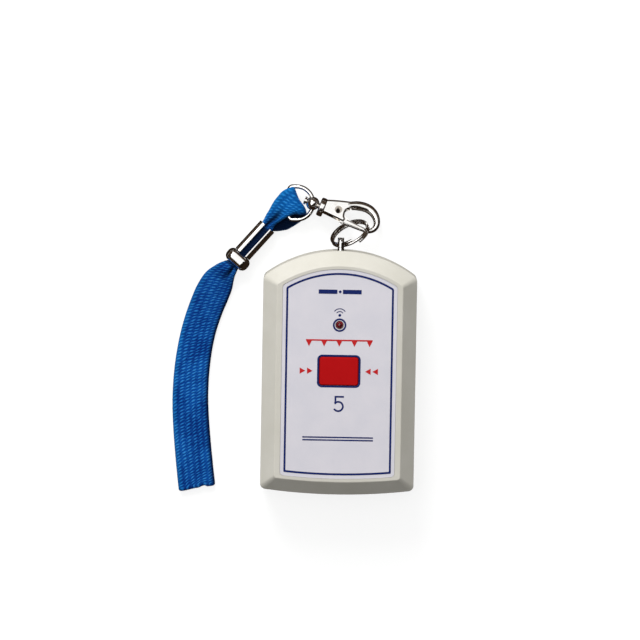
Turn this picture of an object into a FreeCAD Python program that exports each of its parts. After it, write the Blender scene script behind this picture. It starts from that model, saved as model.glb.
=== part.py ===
"""Pendant alarm transmitter with a swivel hook and a doubled wrist strap.

The case lies on its back. The origin is the centre of the rear face, +Z points out of the front
face, +Y points to the end that carries the lug, and +X points right as the front is read.
All sizes are in millimetres and degrees.
"""
import FreeCAD
import Part
import math
import os

Vec = FreeCAD.Vector

# Case outside
case_width = 61.0
case_length = 97.0
case_thickness = 25.0
slope_height = 7.0
slope_inset = 5.5
top_arc_radius = 50.0
bottom_arc_radius = 230.0
top_corner_radius = 3.0
bottom_corner_radius = 2.2
corner_shrink = 0.3
rear_round = 2.0
belt_round = 0.8
front_round = 0.5

# Case inside and seam
wall = 2.0
front_wall = 2.0
slope_wall = 1.6
parting_height = 12.6
lip_height = 1.2
lip_clearance = 0.1
seam_gap = 0.3
seam_depth = 0.4

# Label foil and its recess
recess_depth = 0.5
label_side_inset = 7.8
label_end_inset = 6.9
label_corner_radius = 1.6
label_clearance = 0.1
foil_thickness = 0.3
print_thickness = 0.05
border_inset = 1.4
border_line = 0.8
border_top_corner = 1.0
border_bottom_corner = 0.4

# Alarm button, its window and travel
button_place = 1.2
button_width = 15.3
button_height = 11.1
button_corner = 1.0
button_clearance = 0.25
button_proud = 0.25
button_flange = 1.5
button_flange_thickness = 1.0
button_edge_round = 0.35
button_stem_radius = 2.2
frame_line = 0.7

# Indicator lamp
led_place = 19.5
led_radius = 1.5
led_flange_radius = 1.9
led_flange_thickness = 1.0
led_proud = 0.6
led_body_length = 5.3
led_hole_clearance = 0.1
led_label_clearance = 0.25
led_ring_line = 0.7
led_ring_gap = 0.22
lead_size = 0.5
lead_spacing = 2.54
lead_below_board = 1.0

# Circuit board
board_top = 16.0
board_thickness = 1.6
board_side_gap = 8.9
board_past_opening = 2.7
board_high_end = 40.0
board_corner_cut = 6.0
board_screw_inset = 3.6
board_screw_rise = 3.5
board_screw_high = 34.5
board_screw_radius = 0.8
board_screw_head_radius = 1.9
board_screw_head = 1.2
board_screw_grip = 4.0
board_boss_radius = 2.2
screw_clearance = 0.05
screw_hole_clearance = 0.25

# Case screws
case_screw_inset = 5.3
case_screw_high = 33.0
case_screw_past_door = 3.65
case_screw_radius = 1.1
case_screw_head_radius = 2.2
case_screw_head = 1.6
case_screw_seat = 6.0
case_screw_grip = 5.0
post_radius = 3.2
counterbore_clearance = 0.25
screw_slot_width = 0.5
screw_slot_depth = 0.6

# Push switch under the button
switch_size = 6.0
switch_height = 3.5
plunger_radius = 1.75
plunger_clearance = 0.1
plunger_depth = 0.9
switch_well = 1.6
switch_leg = 0.7

# Parts on the board
chip_length = 22.9
chip_width = 6.4
chip_height = 3.3
chip_standoff = 0.4
chip_x = -12.0
chip_y = 17.0
pin_pitch = 2.54
pins_per_side = 9
pin_size = 0.5
resonator_radius = 4.6
resonator_height = 3.4
resonator_rim = 0.4
resonator_x = 12.5
resonator_y = 23.0
crystal_length = 10.8
crystal_width = 4.4
crystal_height = 3.5
crystal_x = 13.5
crystal_y = 12.5
capacitor_radius = 3.1
capacitor_length = 11.0
capacitor_x = 15.0
capacitor_y = -2.4
resistor_length = 3.2
resistor_width = 1.6
resistor_thickness = 0.6
resistor_x = -14.0
resistor_pitch = 3.0
resistor_count = 4
resistor_rise = 5.5
antenna_radius = 0.5
antenna_half_span = 14.0
antenna_y = 37.5
antenna_height = 3.6
antenna_bend = 1.5

# Battery block, its snap and its leads
battery_length = 46.4
battery_width = 26.5
battery_depth = 17.5
battery_corner = 1.8
battery_side_room = 3.3
battery_end_room = 2.7
battery_lift = 0.3
terminal_height = 2.0
terminal_spacing = 12.7
terminal_small_radius = 2.9
terminal_large_radius = 4.1
snap_thickness = 3.0
snap_length = 25.0
snap_width = 12.0
snap_corner = 1.5
lead_radius = 0.65
lead_pitch = 1.4
lead_height = 10.9
lead_start_bend = 1.5
lead_end_bend = 1.2
lead_straight = 1.0
lead_solder_x = 10.4
lead_solder_pitch = 2.6
lead_solder_rise = 5.0

# Battery door in the rear face
door_half_width = 25.0
door_tongue = 1.2
door_overlap = 1.05
door_face = 0.9
door_thickness = 1.8
door_clearance = 0.15
door_opening_margin = 0.7
battery_clearance = 0.1
rail_height = 1.25
grip_count = 4
grip_length = 14.0
grip_width = 0.9
grip_depth = 0.4
grip_pitch = 2.0
grip_end_room = 4.0
rib_thickness = 1.4
rib_height = 8.0

# Lug: a folded metal strip through the end wall
lug_width = 2.5
lug_thickness = 0.8
lug_opening_height = 5.2
lug_reach = 5.0
lug_inner_corner = 1.2
lug_foot = 1.2
lug_foot_gap = 0.3
lug_slot_clearance = 0.1

# Split ring
ring_x = 3.5
ring_past_end = 6.5
ring_below_seam = 4.9
ring_radius = 7.6
ring_wire_radius = 0.56
ring_pitch = 1.14
ring_turns = 1.95
ring_end_angle = -75.0
ring_yaw = 29.0
ring_tilt = -63.5

# Hook, in its own frame: u along the stem to the loop, v to the spine, w out of the plate
hook_left_of_ring = 15.0
hook_past_ring = 11.65
hook_below_ring = 2.55
hook_yaw = -21.0
hook_roll = -20.0
hook_thickness = 3.4
hook_round = 0.9
hook_body_start = 4.2
hook_spine = [(9.5, 5.1), (12.2, 5.9), (14.4, 6.5)]
hook_shoulder = [(15.3, 5.4), (14.9, 3.6)]
hook_cheek = [(13.6, 2.4), (13.3, 1.2), (13.5, 0.0), (14.4, -1.3), (14.0, -2.6)]
hook_bar_line = [
    (13.4, 4.45),
    (16.6, 5.95),
    (20.2, 6.65),
    (23.5, 5.95),
    (26.0, 3.7),
    (26.85, 0.95),
    (25.9, -1.25),
    (24.3, -2.1),
]
hook_bar_radii = [1.8, 1.85, 1.85, 1.7, 1.4, 1.15, 1.0, 0.9]
hook_body_low = -1.9
hook_body_high = 3.2
collar_radius = 3.8
collar_start = 2.75
collar_end = 5.1
collar_round = 0.6
stem_radius = 1.05
stem_head_radius = 1.6
stem_head_length = 0.9
stem_gap = 0.1

# Gate of the hook and its pin
pivot_u = 10.4
pivot_v = 1.1
pin_radius = 1.1
pin_head_radius = 1.5
pin_head = 0.25
pin_pit_radius = 0.75
pin_pit_depth = 0.9
gate_bore_gap = 0.05
slot_half_height = 1.0
slot_gap = 0.12
slot_start_u = 7.2
slot_top_v = 3.9
gate_hub_radius = 2.2
gate_clear_radius = 5.3
gate_half_thickness = 1.1
gate_tip_u = 23.7
gate_low_start = -3.1
gate_low_end = -3.0
gate_high_start = -0.8
gate_high_end = -1.75
gate_round = 0.5

# Eye of the swivel
eye_pitch = 8.5
eye_wire_radius = 0.85
eye_bow_radius = 6.6
eye_bow_centre = -6.45
eye_bar = -9.6
eye_corner = 1.5
boss_radius = 2.7
boss_half_length = 2.6

# Webbing strap: a flattened loop, folded at the eye and at its far end
strap_width = 15.0
strap_layer = 1.15
strap_floor_gap = 0.1
strap_axis_height = 3.3
strap_route = [
    (-16.5, 67.35),
    (-29.45, 57.0),
    (-48.0, 35.9),
    (-55.8, 18.2),
    (-59.1, -1.9),
    (-59.1, -23.1),
    (-56.0, -47.9),
]
strap_arc_share = 0.45
loop_fold_width = 8.8
loop_middle_width = 8.6
loop_middle = 10.5
loop_level = 9.0
loop_gap = 2.7
loop_height = 3.75
flare_steps = [(1.6, 7.5, 3.2), (4.5, 11.5, 2.7), (8.0, 14.2, 2.4)]

# Metal clamp and collar on the strap
clamp_length = 14.7
clamp_width = 7.4
clamp_height = 4.4
clamp_wall = 0.7
clamp_corner = 1.9
clamp_slot = 2.8
core_clearance = 0.1
bead_across = 10.4
bead_along = 5.6
bead_height = 6.4
bead_corner = 3.1
bead_round = 2.4
bead_hole_width = 6.2
bead_hole_height = 3.6
bead_gap = 0.1

half_width = case_width / 2
half_length = case_length / 2
belt_top = case_thickness - slope_height
recess_floor = case_thickness - recess_depth
inner_ceiling = recess_floor - front_wall
foil_top = recess_floor + foil_thickness
board_bottom = board_top - board_thickness
window_width = button_width + 2 * button_clearance
window_height = button_height + 2 * button_clearance
window_corner = button_corner + button_clearance
lug_half = lug_opening_height / 2 + lug_thickness
battery_bottom = door_thickness + battery_lift
battery_left = wall - half_width + battery_side_room
battery_low = wall - half_length + battery_end_room
door_opening_top = battery_low + battery_width + battery_clearance
door_opening_half_width = door_half_width + door_opening_margin
door_top_end = door_opening_top + door_overlap
board_half_width = half_width - board_side_gap
board_low_end = door_opening_top + board_past_opening
board_screw_x = board_half_width - board_screw_inset
board_screw_low = board_low_end + board_screw_rise
case_screw_x = half_width - case_screw_inset
case_screw_low = door_top_end + case_screw_past_door
resistor_start = board_low_end + resistor_rise
lead_solder_y = board_low_end + lead_solder_rise
grip_start = grip_end_room - half_length
ring_centre = Vec(ring_x, half_length + ring_past_end, parting_height - ring_below_seam)
hook_origin = ring_centre + Vec(-hook_left_of_ring, hook_past_ring, -hook_below_ring)
beyond = 5.0


def box(x0, x1, y0, y1, z0, z1):
    """A block between two corners."""
    return Part.makeBox(x1 - x0, y1 - y0, z1 - z0, Vec(x0, y0, z0))


def rod(radius, x, y, z0, z1):
    """An upright cylinder."""
    return Part.makeCylinder(radius, z1 - z0, Vec(x, y, z0))


def rounded_block(width, depth, corner, x, y, z0, z1):
    """An upright block with rounded upright edges, centred on x and y."""
    solid = box(x - width / 2, x + width / 2, y - depth / 2, y + depth / 2, z0, z1)
    upright = [e for e in solid.Edges if abs(e.BoundBox.ZLength - (z1 - z0)) < 1e-6]
    return solid.makeFillet(corner, upright)


def fuse_all(solids):
    """One solid from several that touch or overlap."""
    return solids[0].multiFuse(solids[1:]).removeSplitter()


def outline(side, top, bottom, top_radius, bottom_radius, top_corner, bottom_corner, height):
    """The case's plan shape at a height: two straight sides, two end arcs, four round corners."""
    top_middle = Vec(0, top - top_radius, height)
    bottom_middle = Vec(0, bottom + bottom_radius, height)

    def corner(middle, radius, small, sign):
        rise = math.sqrt((radius - small) ** 2 - (side - small) ** 2)
        centre = Vec(side - small, middle.y + sign * rise, height)
        on_side = Vec(side, centre.y, height)
        on_arc = middle + (centre - middle) * (radius / (radius - small))
        between = (on_side - centre) + (on_arc - centre)
        between.normalize()
        return on_side, centre + between * small, on_arc

    top_side, top_mid, top_arc = corner(top_middle, top_radius, top_corner, 1)
    low_side, low_mid, low_arc = corner(bottom_middle, bottom_radius, bottom_corner, -1)

    def mirrored(p):
        return Vec(-p.x, p.y, p.z)

    edges = [
        Part.LineSegment(low_side, top_side),
        Part.Arc(top_side, top_mid, top_arc),
        Part.Arc(top_arc, Vec(0, top, height), mirrored(top_arc)),
        Part.Arc(mirrored(top_arc), mirrored(top_mid), mirrored(top_side)),
        Part.LineSegment(mirrored(top_side), mirrored(low_side)),
        Part.Arc(mirrored(low_side), mirrored(low_mid), mirrored(low_arc)),
        Part.Arc(mirrored(low_arc), Vec(0, bottom, height), low_arc),
        Part.Arc(low_arc, low_mid, low_side),
    ]
    return Part.Wire([e.toShape() for e in edges])


def case_outline(inset, height):
    """The case's plan shape, drawn in by an even inset."""
    return outline(
        half_width - inset,
        half_length - inset,
        inset - half_length,
        top_arc_radius - inset,
        bottom_arc_radius - inset,
        top_corner_radius - corner_shrink * max(inset, 0),
        bottom_corner_radius - corner_shrink * max(inset, 0) / 2,
        height,
    )


def label_outline(inset, height, top_corner, bottom_corner):
    """The label's plan shape, drawn in by an even inset."""
    return outline(
        half_width - label_side_inset - inset,
        half_length - label_end_inset - inset,
        label_end_inset + inset - half_length,
        top_arc_radius - label_side_inset - inset,
        bottom_arc_radius - label_side_inset - inset,
        top_corner,
        bottom_corner,
        height,
    )


def plate(wire, thickness):
    """A wire's face raised to a plate."""
    return Part.Face(wire).extrude(Vec(0, 0, thickness))


def edges_at(solid, height):
    """The edges of a solid that lie level at one height."""
    level = [e for e in solid.Edges if abs(e.BoundBox.ZMin - height) < 1e-4]
    return [e for e in level if abs(e.BoundBox.ZMax - height) < 1e-4]


def case_outside():
    """The closed outer form: an upright belt, a slope all round, and a flat front."""
    belt = plate(case_outline(0, 0), belt_top)
    belt = belt.makeFillet(rear_round, edges_at(belt, 0))
    rings = [case_outline(0, belt_top), case_outline(slope_inset, case_thickness)]
    slope = Part.makeLoft(rings, True, True)
    solid = belt.fuse(slope).removeSplitter()
    solid = solid.makeFillet(front_round, edges_at(solid, case_thickness))
    return solid.makeFillet(belt_round, edges_at(solid, belt_top))


def case_inside():
    """The hollow of the case."""
    shoulder = belt_top - slope_wall / 2
    lower = plate(case_outline(wall, wall), shoulder - wall)
    narrowing = slope_inset * (inner_ceiling - shoulder) / slope_height
    rings = [case_outline(wall, shoulder), case_outline(wall + narrowing, inner_ceiling)]
    upper = Part.makeLoft(rings, True, True)
    return lower.fuse(upper).removeSplitter()


outside = case_outside()
inside = case_inside()
hull = outside.cut(inside)
above = box(-case_width, case_width, -case_length, case_length, parting_height, case_thickness + beyond)
below = box(-case_width, case_width, -case_length, case_length, -beyond, parting_height)


def four_places(x, low, high):
    """Four places: left and right, low and high."""
    return [(side * x, y) for side in (-1, 1) for y in (low, high)]


case_screw_places = four_places(case_screw_x, case_screw_low, case_screw_high)
board_screw_places = four_places(board_screw_x, board_screw_low, board_screw_high)


def button_window(z0, z1):
    """The cut that lets the button through."""
    return rounded_block(window_width, window_height, window_corner, 0, button_place, z0, z1)


def lug_slots():
    """The two slots in the end wall that the lug's legs pass through."""
    x = lug_width / 2 + lug_slot_clearance
    inner = lug_opening_height / 2 - lug_slot_clearance
    outer = lug_half + lug_slot_clearance
    y0 = half_length - wall - beyond
    y1 = half_length + beyond
    upper = box(-x, x, y0, y1, parting_height + inner, parting_height + outer)
    lower = box(-x, x, y0, y1, parting_height - outer, parting_height - inner)
    wall_face = half_length - wall
    room = lug_half + lug_foot + lug_slot_clearance
    foot_end = wall_face - lug_foot_gap / 2
    feet = box(-x, x, wall_face - beyond, foot_end, parting_height - room, parting_height + room)
    return fuse_all([upper, lower, feet])


def front_shell():
    """The front half: sloped rim, label recess, window, screw posts and board bosses."""
    shell = hull.common(above)
    lip_room = plate(case_outline(wall / 2 - lip_clearance / 2, parting_height), lip_height + lip_clearance)
    shell = shell.cut(lip_room)
    posts = [rod(post_radius, x, y, parting_height, inner_ceiling + wall) for x, y in case_screw_places]
    bosses = [
        rod(board_boss_radius, x, y, board_top, inner_ceiling + wall) for x, y in board_screw_places
    ]
    shell = fuse_all([shell] + [p.common(outside) for p in posts + bosses])
    for x, y in case_screw_places:
        top = parting_height + case_screw_grip
        shell = shell.cut(rod(case_screw_radius + screw_clearance, x, y, parting_height, top))
    for x, y in board_screw_places:
        top = board_top + board_screw_grip
        shell = shell.cut(rod(board_screw_radius + screw_clearance, x, y, board_top, top))
    recess = label_outline(-label_clearance, recess_floor, label_corner_radius, label_corner_radius)
    shell = shell.cut(plate(recess, recess_depth + beyond))
    under = inner_ceiling - beyond / 5
    shell = shell.cut(button_window(under, case_thickness))
    shell = shell.cut(rod(led_radius + led_hole_clearance, 0, led_place, under, case_thickness))
    return shell.cut(lug_slots())


def rear_shell():
    """The rear half: lip, screw tubes, battery rib, door rails and the opening for the battery."""
    shell = hull.common(below)
    lip = plate(case_outline(wall / 2 + lip_clearance / 2, parting_height - wall), wall + lip_height)
    lip = lip.cut(plate(case_outline(wall, parting_height - wall), wall + lip_height))
    tubes = [rod(post_radius, x, y, 0, parting_height) for x, y in case_screw_places]
    rib_top = wall + rib_height
    rib_y = door_opening_top + seam_gap
    rib = box(-half_width, half_width, rib_y, rib_y + rib_thickness, wall / 2, rib_top)
    rails = []
    for side in (-1, 1):
        x0, x1 = sorted((side * door_opening_half_width, side * half_width))
        z0 = door_thickness + door_clearance
        rails.append(box(x0, x1, -half_length, door_opening_top, z0, z0 + rail_height))
    inner_parts = [p.common(outside) for p in tubes + [rib] + rails]
    shell = fuse_all([shell, lip] + inner_parts)
    groove = plate(case_outline(-beyond, parting_height - seam_gap), seam_gap)
    groove = groove.cut(plate(case_outline(seam_depth, parting_height - seam_gap), seam_gap))
    shell = shell.cut(groove)
    for x, y in case_screw_places:
        shell = shell.cut(rod(case_screw_radius + screw_hole_clearance, x, y, -beyond, parting_height))
        head_room = case_screw_head_radius + counterbore_clearance
        shell = shell.cut(rod(head_room, x, y, -beyond, case_screw_seat))
    door_top = door_top_end + door_clearance
    face_half = door_half_width + door_clearance
    tongue_half = door_half_width + door_tongue + door_clearance
    tongue_low = door_face - door_clearance
    tongue_high = door_thickness + door_clearance
    end = -half_length - beyond
    shell = shell.cut(box(-face_half, face_half, end, door_top, -beyond, tongue_high))
    shell = shell.cut(box(-tongue_half, tongue_half, end, door_top, tongue_low, tongue_high))
    room = box(
        -door_opening_half_width,
        door_opening_half_width,
        wall - half_length,
        door_opening_top,
        0,
        tongue_high + rail_height,
    )
    shell = shell.cut(room)
    return shell.cut(lug_slots())


def battery_door():
    """A plate in the rear face with a tongue along each side and grip grooves near the lower end."""
    end = -half_length - beyond
    face = box(-door_half_width, door_half_width, end, door_top_end, -beyond, door_face)
    tongue_half = door_half_width + door_tongue
    tongue = box(-tongue_half, tongue_half, end, door_top_end, door_face, door_thickness)
    door = face.fuse(tongue).removeSplitter().common(outside)
    for i in range(grip_count):
        y = grip_start + i * grip_pitch
        door = door.cut(box(-grip_length / 2, grip_length / 2, y, y + grip_width, -beyond, grip_depth))
    return door


def front_label():
    """The printed foil in the recess, with holes for the button and the lamp."""
    shape = label_outline(0, recess_floor, label_corner_radius, label_corner_radius)
    foil = plate(shape, foil_thickness)
    foil = foil.cut(button_window(recess_floor - beyond, foil_top + beyond))
    lamp_hole = led_radius + led_label_clearance
    return foil.cut(rod(lamp_hole, 0, led_place, recess_floor - beyond, foil_top + beyond))


def ink_bar(x0, x1, y0, y1):
    """A straight printed bar."""
    return box(x0, x1, y0, y1, foil_top, foil_top + print_thickness)


def ink_disc(radius, x, y):
    """A printed dot."""
    return rod(radius, x, y, foil_top, foil_top + print_thickness)


def ink_arc(radius, line, x, y, first, last):
    """Part of a printed ring, from one angle to another."""
    place = Vec(x, y, foil_top)
    up = Vec(0, 0, 1)
    ring = Part.makeCylinder(radius + line / 2, print_thickness, place, up, last - first)
    hole = Part.makeCylinder(radius - line / 2, print_thickness, place, up, last - first)
    arc = ring.cut(hole)
    arc.rotate(Vec(x, y, foil_top), Vec(0, 0, 1), first)
    return arc


def ink_triangle(x, y, reach, half_base, angle):
    """A printed triangle that points along an angle."""
    turn = math.radians(angle)
    ahead = Vec(math.cos(turn), math.sin(turn), 0)
    across = Vec(-math.sin(turn), math.cos(turn), 0)
    base = Vec(x, y, foil_top)
    corners = [base + across * half_base, base - across * half_base, base + ahead * reach]
    return plate(Part.makePolygon(corners + corners[:1]), print_thickness)


name_bar_length = 7.4
name_bar_height = 1.7
name_place = 32.7
name_dot = 0.55
name_dot_gap = 1.1
wave_place = 23.4
wave_line = 0.35
wave_radii = (1.5, 2.6)
wave_spread = 55.0
number_place = -11.8
number_half_height = 3.2
number_line = 0.7
number_bowl_radius = 1.85
number_half_width = 1.5
stripe_place = -25.4
stripe_half_length = 14.0
stripe_line = 0.55
title_place = 12.05
title_half_length = 13.2
title_line = 0.6
title_mark = 2.2
title_pitch = 6.0
arrow_place = 12.6
arrow_reach = 2.2
arrow_half_base = 1.25
arrow_pitch = 2.9


def number_five():
    """The plain number on the label, from two bars and a bowl."""
    low = number_place - number_half_height
    high = number_place + number_half_height
    bowl_y = low + number_bowl_radius + number_line / 2
    left = -number_half_width
    flag = ink_bar(left, number_half_width + number_line, high - number_line, high)
    stem = ink_bar(left, left + number_line, bowl_y + number_bowl_radius / 2, high)
    bowl = ink_arc(number_bowl_radius, number_line, 0, bowl_y, -150, 140)
    return fuse_all([flag, stem, bowl])


def label_print_blue():
    """Blue ink: border line, button frame, lamp ring, bars, waves, number and stripe."""
    outer = label_outline(border_inset, foil_top, border_top_corner, border_bottom_corner)
    inner_inset = border_inset + border_line
    inner = label_outline(inner_inset, foil_top, border_top_corner / 2, border_bottom_corner / 2)
    border = plate(outer, print_thickness).cut(plate(inner, print_thickness))
    frame_width = window_width + 2 * frame_line
    frame_height = window_height + 2 * frame_line
    ink_top = foil_top + print_thickness
    frame = rounded_block(
        frame_width, frame_height, window_corner + frame_line, 0, button_place, foil_top, ink_top
    )
    frame = frame.cut(button_window(foil_top, ink_top))
    ring_radius_mid = led_radius + led_label_clearance + led_ring_gap + led_ring_line / 2
    lamp_ring = ink_arc(ring_radius_mid, led_ring_line, 0, led_place, 0, 360)
    bars = []
    for side in (-1, 1):
        x0, x1 = sorted((side * name_dot_gap, side * (name_dot_gap + name_bar_length)))
        bars.append(ink_bar(x0, x1, name_place - name_bar_height / 2, name_place + name_bar_height / 2))
    waves = [ink_arc(r, wave_line, 0, wave_place, 90 - wave_spread, 90 + wave_spread) for r in wave_radii]
    stripes = []
    for row in (0, 1):
        y = stripe_place - 2 * row * stripe_line
        stripes.append(ink_bar(-stripe_half_length, stripe_half_length, y, y + stripe_line))
    dots = [ink_disc(name_dot, 0, name_place), ink_disc(name_dot, 0, wave_place)]
    return Part.makeCompound([border, frame, lamp_ring] + bars + waves + dots + [number_five()] + stripes)


def label_print_red():
    """Red ink: a line with marks above the button, and arrows towards the button on both sides."""
    y = title_place + title_mark / 2
    line = ink_bar(-title_half_length, title_half_length, y, y + title_line)
    marks = [ink_triangle(k * title_pitch, y, title_mark, title_mark / 2, -90) for k in (-2, -1, 0, 1, 2)]
    arrows = []
    for side in (-1, 1):
        for k in (0, 1):
            x = side * (arrow_place + k * arrow_pitch)
            arrows.append(ink_triangle(x, button_place, arrow_reach, arrow_half_base, 90 + side * 90))
    return Part.makeCompound([fuse_all([line] + marks)] + arrows)


def alarm_button():
    """The red key: crowned edge, retaining flange and stem down to the switch."""
    key_top = foil_top + button_proud
    key = rounded_block(button_width, button_height, button_corner, 0, button_place, inner_ceiling, key_top)
    key = key.makeFillet(button_edge_round, edges_at(key, key_top))
    flange_bottom = inner_ceiling - button_flange_thickness
    flange = rounded_block(
        button_width + 2 * button_flange,
        button_height + 2 * button_flange,
        window_corner,
        0,
        button_place,
        flange_bottom,
        inner_ceiling,
    )
    stem = rod(button_stem_radius, 0, button_place, board_top + switch_height + plunger_depth, flange_bottom)
    return fuse_all([key, flange, stem])


def switch_body():
    """The push switch's square body, its well and four legs."""
    half = switch_size / 2
    top = board_top + switch_height
    body = box(-half, half, button_place - half, button_place + half, board_top, top)
    body = body.cut(rod(plunger_radius + plunger_clearance, 0, button_place, top - switch_well, top))
    for sx in (-1, 1):
        for sy in (-1, 1):
            x = sx * (half - switch_leg)
            y = button_place + sy * (half - switch_leg)
            body = body.fuse(rod(lead_size / 2, x, y, board_bottom - lead_below_board, board_top))
    return body.removeSplitter()


def switch_plunger():
    """The plunger between the switch's well and the button's stem."""
    top = board_top + switch_height
    return rod(plunger_radius, 0, button_place, top - plunger_depth, top + plunger_depth)


def indicator_led():
    """A round lamp with a flange and a domed end."""
    tip = case_thickness + led_proud
    shoulder = tip - led_radius
    base = tip - led_body_length
    dome = Part.makeSphere(led_radius, Vec(0, led_place, shoulder))
    body = rod(led_radius, 0, led_place, base, shoulder)
    flange = rod(led_flange_radius, 0, led_place, base, base + led_flange_thickness)
    return fuse_all([flange, body, dome])


def led_leads():
    """The lamp's two leads, down through the board."""
    base = case_thickness + led_proud - led_body_length
    bottom = board_bottom - lead_below_board
    leads = []
    for side in (-1, 1):
        x = side * lead_spacing / 2
        leads.append(rod(lead_size / 2, x, led_place, bottom, base))
    return Part.makeCompound(leads)


def circuit_board():
    """The board, with cut corners and holes for screws and leads."""
    high = board_high_end
    low = board_low_end
    side = board_half_width
    corners = [
        Vec(-side, low, board_bottom),
        Vec(side, low, board_bottom),
        Vec(side, high - board_corner_cut, board_bottom),
        Vec(side - board_corner_cut, high, board_bottom),
        Vec(board_corner_cut - side, high, board_bottom),
        Vec(-side, high - board_corner_cut, board_bottom),
    ]
    board = plate(Part.makePolygon(corners + corners[:1]), board_thickness)
    for x, y in board_screw_places:
        board = board.cut(rod(board_screw_radius + screw_hole_clearance, x, y, board_bottom, board_top))
    holes = [(sx * lead_spacing / 2, led_place) for sx in (-1, 1)]
    half = switch_size / 2 - switch_leg
    holes += [(sx * half, button_place + sy * half) for sx in (-1, 1) for sy in (-1, 1)]
    for x, y in holes:
        board = board.cut(rod(lead_size / 2 + screw_clearance, x, y, board_bottom, board_top))
    return board


def encoder_chip():
    """The encoder's black body with a notch."""
    z0 = board_top + chip_standoff
    x0 = chip_x - chip_width / 2
    y0 = chip_y - chip_length / 2
    body = box(x0, x0 + chip_width, y0, y0 + chip_length, z0, z0 + chip_height)
    notch = rod(chip_width / 6, chip_x, y0 + chip_length, z0 + chip_height / 2, z0 + chip_height)
    return body.cut(notch)


def chip_pins():
    """The two rows of pins at the encoder's sides."""
    pins = []
    start = chip_y - (pins_per_side - 1) * pin_pitch / 2
    for side in (-1, 1):
        x0, x1 = sorted((chip_x + side * chip_width / 2, chip_x + side * (chip_width / 2 + pin_size)))
        for i in range(pins_per_side):
            y = start + i * pin_pitch
            pin_top = board_top + chip_height / 2
            pins.append(box(x0, x1, y - pin_size / 2, y + pin_size / 2, board_top, pin_top))
    return Part.makeCompound(pins)


def saw_resonator():
    """A round metal can with a rim."""
    rim = rod(resonator_radius, resonator_x, resonator_y, board_top, board_top + resonator_rim)
    can = rod(
        resonator_radius - resonator_rim, resonator_x, resonator_y, board_top, board_top + resonator_height
    )
    return fuse_all([rim, can])


def crystal_can():
    """A flat oval metal can."""
    return rounded_block(
        crystal_length,
        crystal_width,
        crystal_width / 2.05,
        crystal_x,
        crystal_y,
        board_top,
        board_top + crystal_height,
    )


def capacitor():
    """A round capacitor lying on the board."""
    start = Vec(capacitor_x, capacitor_y - capacitor_length / 2, board_top + capacitor_radius)
    return Part.makeCylinder(capacitor_radius, capacitor_length, start, Vec(0, 1, 0))


def chip_resistors():
    """A row of small resistors on the board."""
    parts = []
    for i in range(resistor_count):
        y = resistor_start + i * resistor_pitch
        x0 = resistor_x - resistor_length / 2
        top = board_top + resistor_thickness
        parts.append(box(x0, x0 + resistor_length, y, y + resistor_width, board_top, top))
    return Part.makeCompound(parts)


def rounded_path(points, radii):
    """Straight runs joined by tangent arcs, one radius for each inner point."""
    edges = []
    start = points[0]
    for i in range(1, len(points) - 1):
        back = (points[i - 1] - points[i]).normalize()
        ahead = (points[i + 1] - points[i]).normalize()
        turn = math.pi - back.getAngle(ahead)
        tangent = radii[i - 1] * math.tan(turn / 2)
        first = points[i] + back * tangent
        last = points[i] + ahead * tangent
        bisector = (back + ahead).normalize()
        middle = points[i] + bisector * (radii[i - 1] * (1 / math.cos(turn / 2) - 1))
        edges.append(Part.LineSegment(start, first).toShape())
        edges.append(Part.Arc(first, middle, last).toShape())
        start = last
    edges.append(Part.LineSegment(start, points[-1]).toShape())
    return Part.Wire(edges)


def round_sweep(path, radius):
    """A round wire or tube along a path."""
    first = path.Edges[0]
    start = first.valueAt(first.FirstParameter)
    direction = first.tangentAt(first.FirstParameter)
    profile = Part.Wire([Part.Circle(start, direction, radius).toShape()])
    return path.makePipeShell([profile], True, False)


def antenna_loop():
    """A stiff wire bridge along the upper end of the board."""
    low = board_top
    high = board_top + antenna_height
    points = [
        Vec(-antenna_half_span, antenna_y, low),
        Vec(-antenna_half_span, antenna_y, high),
        Vec(antenna_half_span, antenna_y, high),
        Vec(antenna_half_span, antenna_y, low),
    ]
    return round_sweep(rounded_path(points, [antenna_bend, antenna_bend]), antenna_radius)


def battery_block():
    """The battery's body with its two terminals on the right end."""
    right = battery_left + battery_length
    middle_y = battery_low + battery_width / 2
    middle_z = battery_bottom + battery_depth / 2
    body = box(
        battery_left,
        right,
        battery_low,
        battery_low + battery_width,
        battery_bottom,
        battery_bottom + battery_depth,
    )
    long_edges = [e for e in body.Edges if abs(e.BoundBox.XLength - battery_length) < 1e-6]
    body = body.makeFillet(battery_corner, long_edges)
    ahead = Vec(1, 0, 0)
    small = Vec(right, middle_y - terminal_spacing / 2, middle_z)
    large = Vec(right, middle_y + terminal_spacing / 2, middle_z)
    first = Part.makeCylinder(terminal_small_radius, terminal_height, small, ahead)
    second = Part.makeCylinder(terminal_large_radius, terminal_height, large, ahead)
    return fuse_all([body, first, second])


def snap_box():
    """The lowest corner of the snap connector."""
    x0 = battery_left + battery_length + terminal_height
    y0 = battery_low + (battery_width - snap_length) / 2
    z0 = battery_bottom + (battery_depth - snap_width) / 2
    return x0, y0, z0


def battery_snap():
    """The soft cap that presses onto the battery's terminals."""
    x0, y0, z0 = snap_box()
    cap = box(x0, x0 + snap_thickness, y0, y0 + snap_length, z0, z0 + snap_width)
    rounded = [e for e in cap.Edges if abs(e.BoundBox.XLength - snap_thickness) < 1e-6]
    return cap.makeFillet(snap_corner, rounded)


def battery_lead(level):
    """One lead from the snap's upper edge over the rib to the underside of the board."""
    x0, y0, z0 = snap_box()
    x = x0 + snap_thickness / 2
    y = y0 + snap_length
    z = lead_height + level * lead_pitch
    end_x = lead_solder_x + level * lead_solder_pitch
    points = [
        Vec(x, y, z),
        Vec(x, y + lead_straight, z),
        Vec(end_x, lead_solder_y, z),
        Vec(end_x, lead_solder_y, board_bottom),
    ]
    return round_sweep(rounded_path(points, [lead_start_bend, lead_end_bend]), lead_radius)


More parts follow.
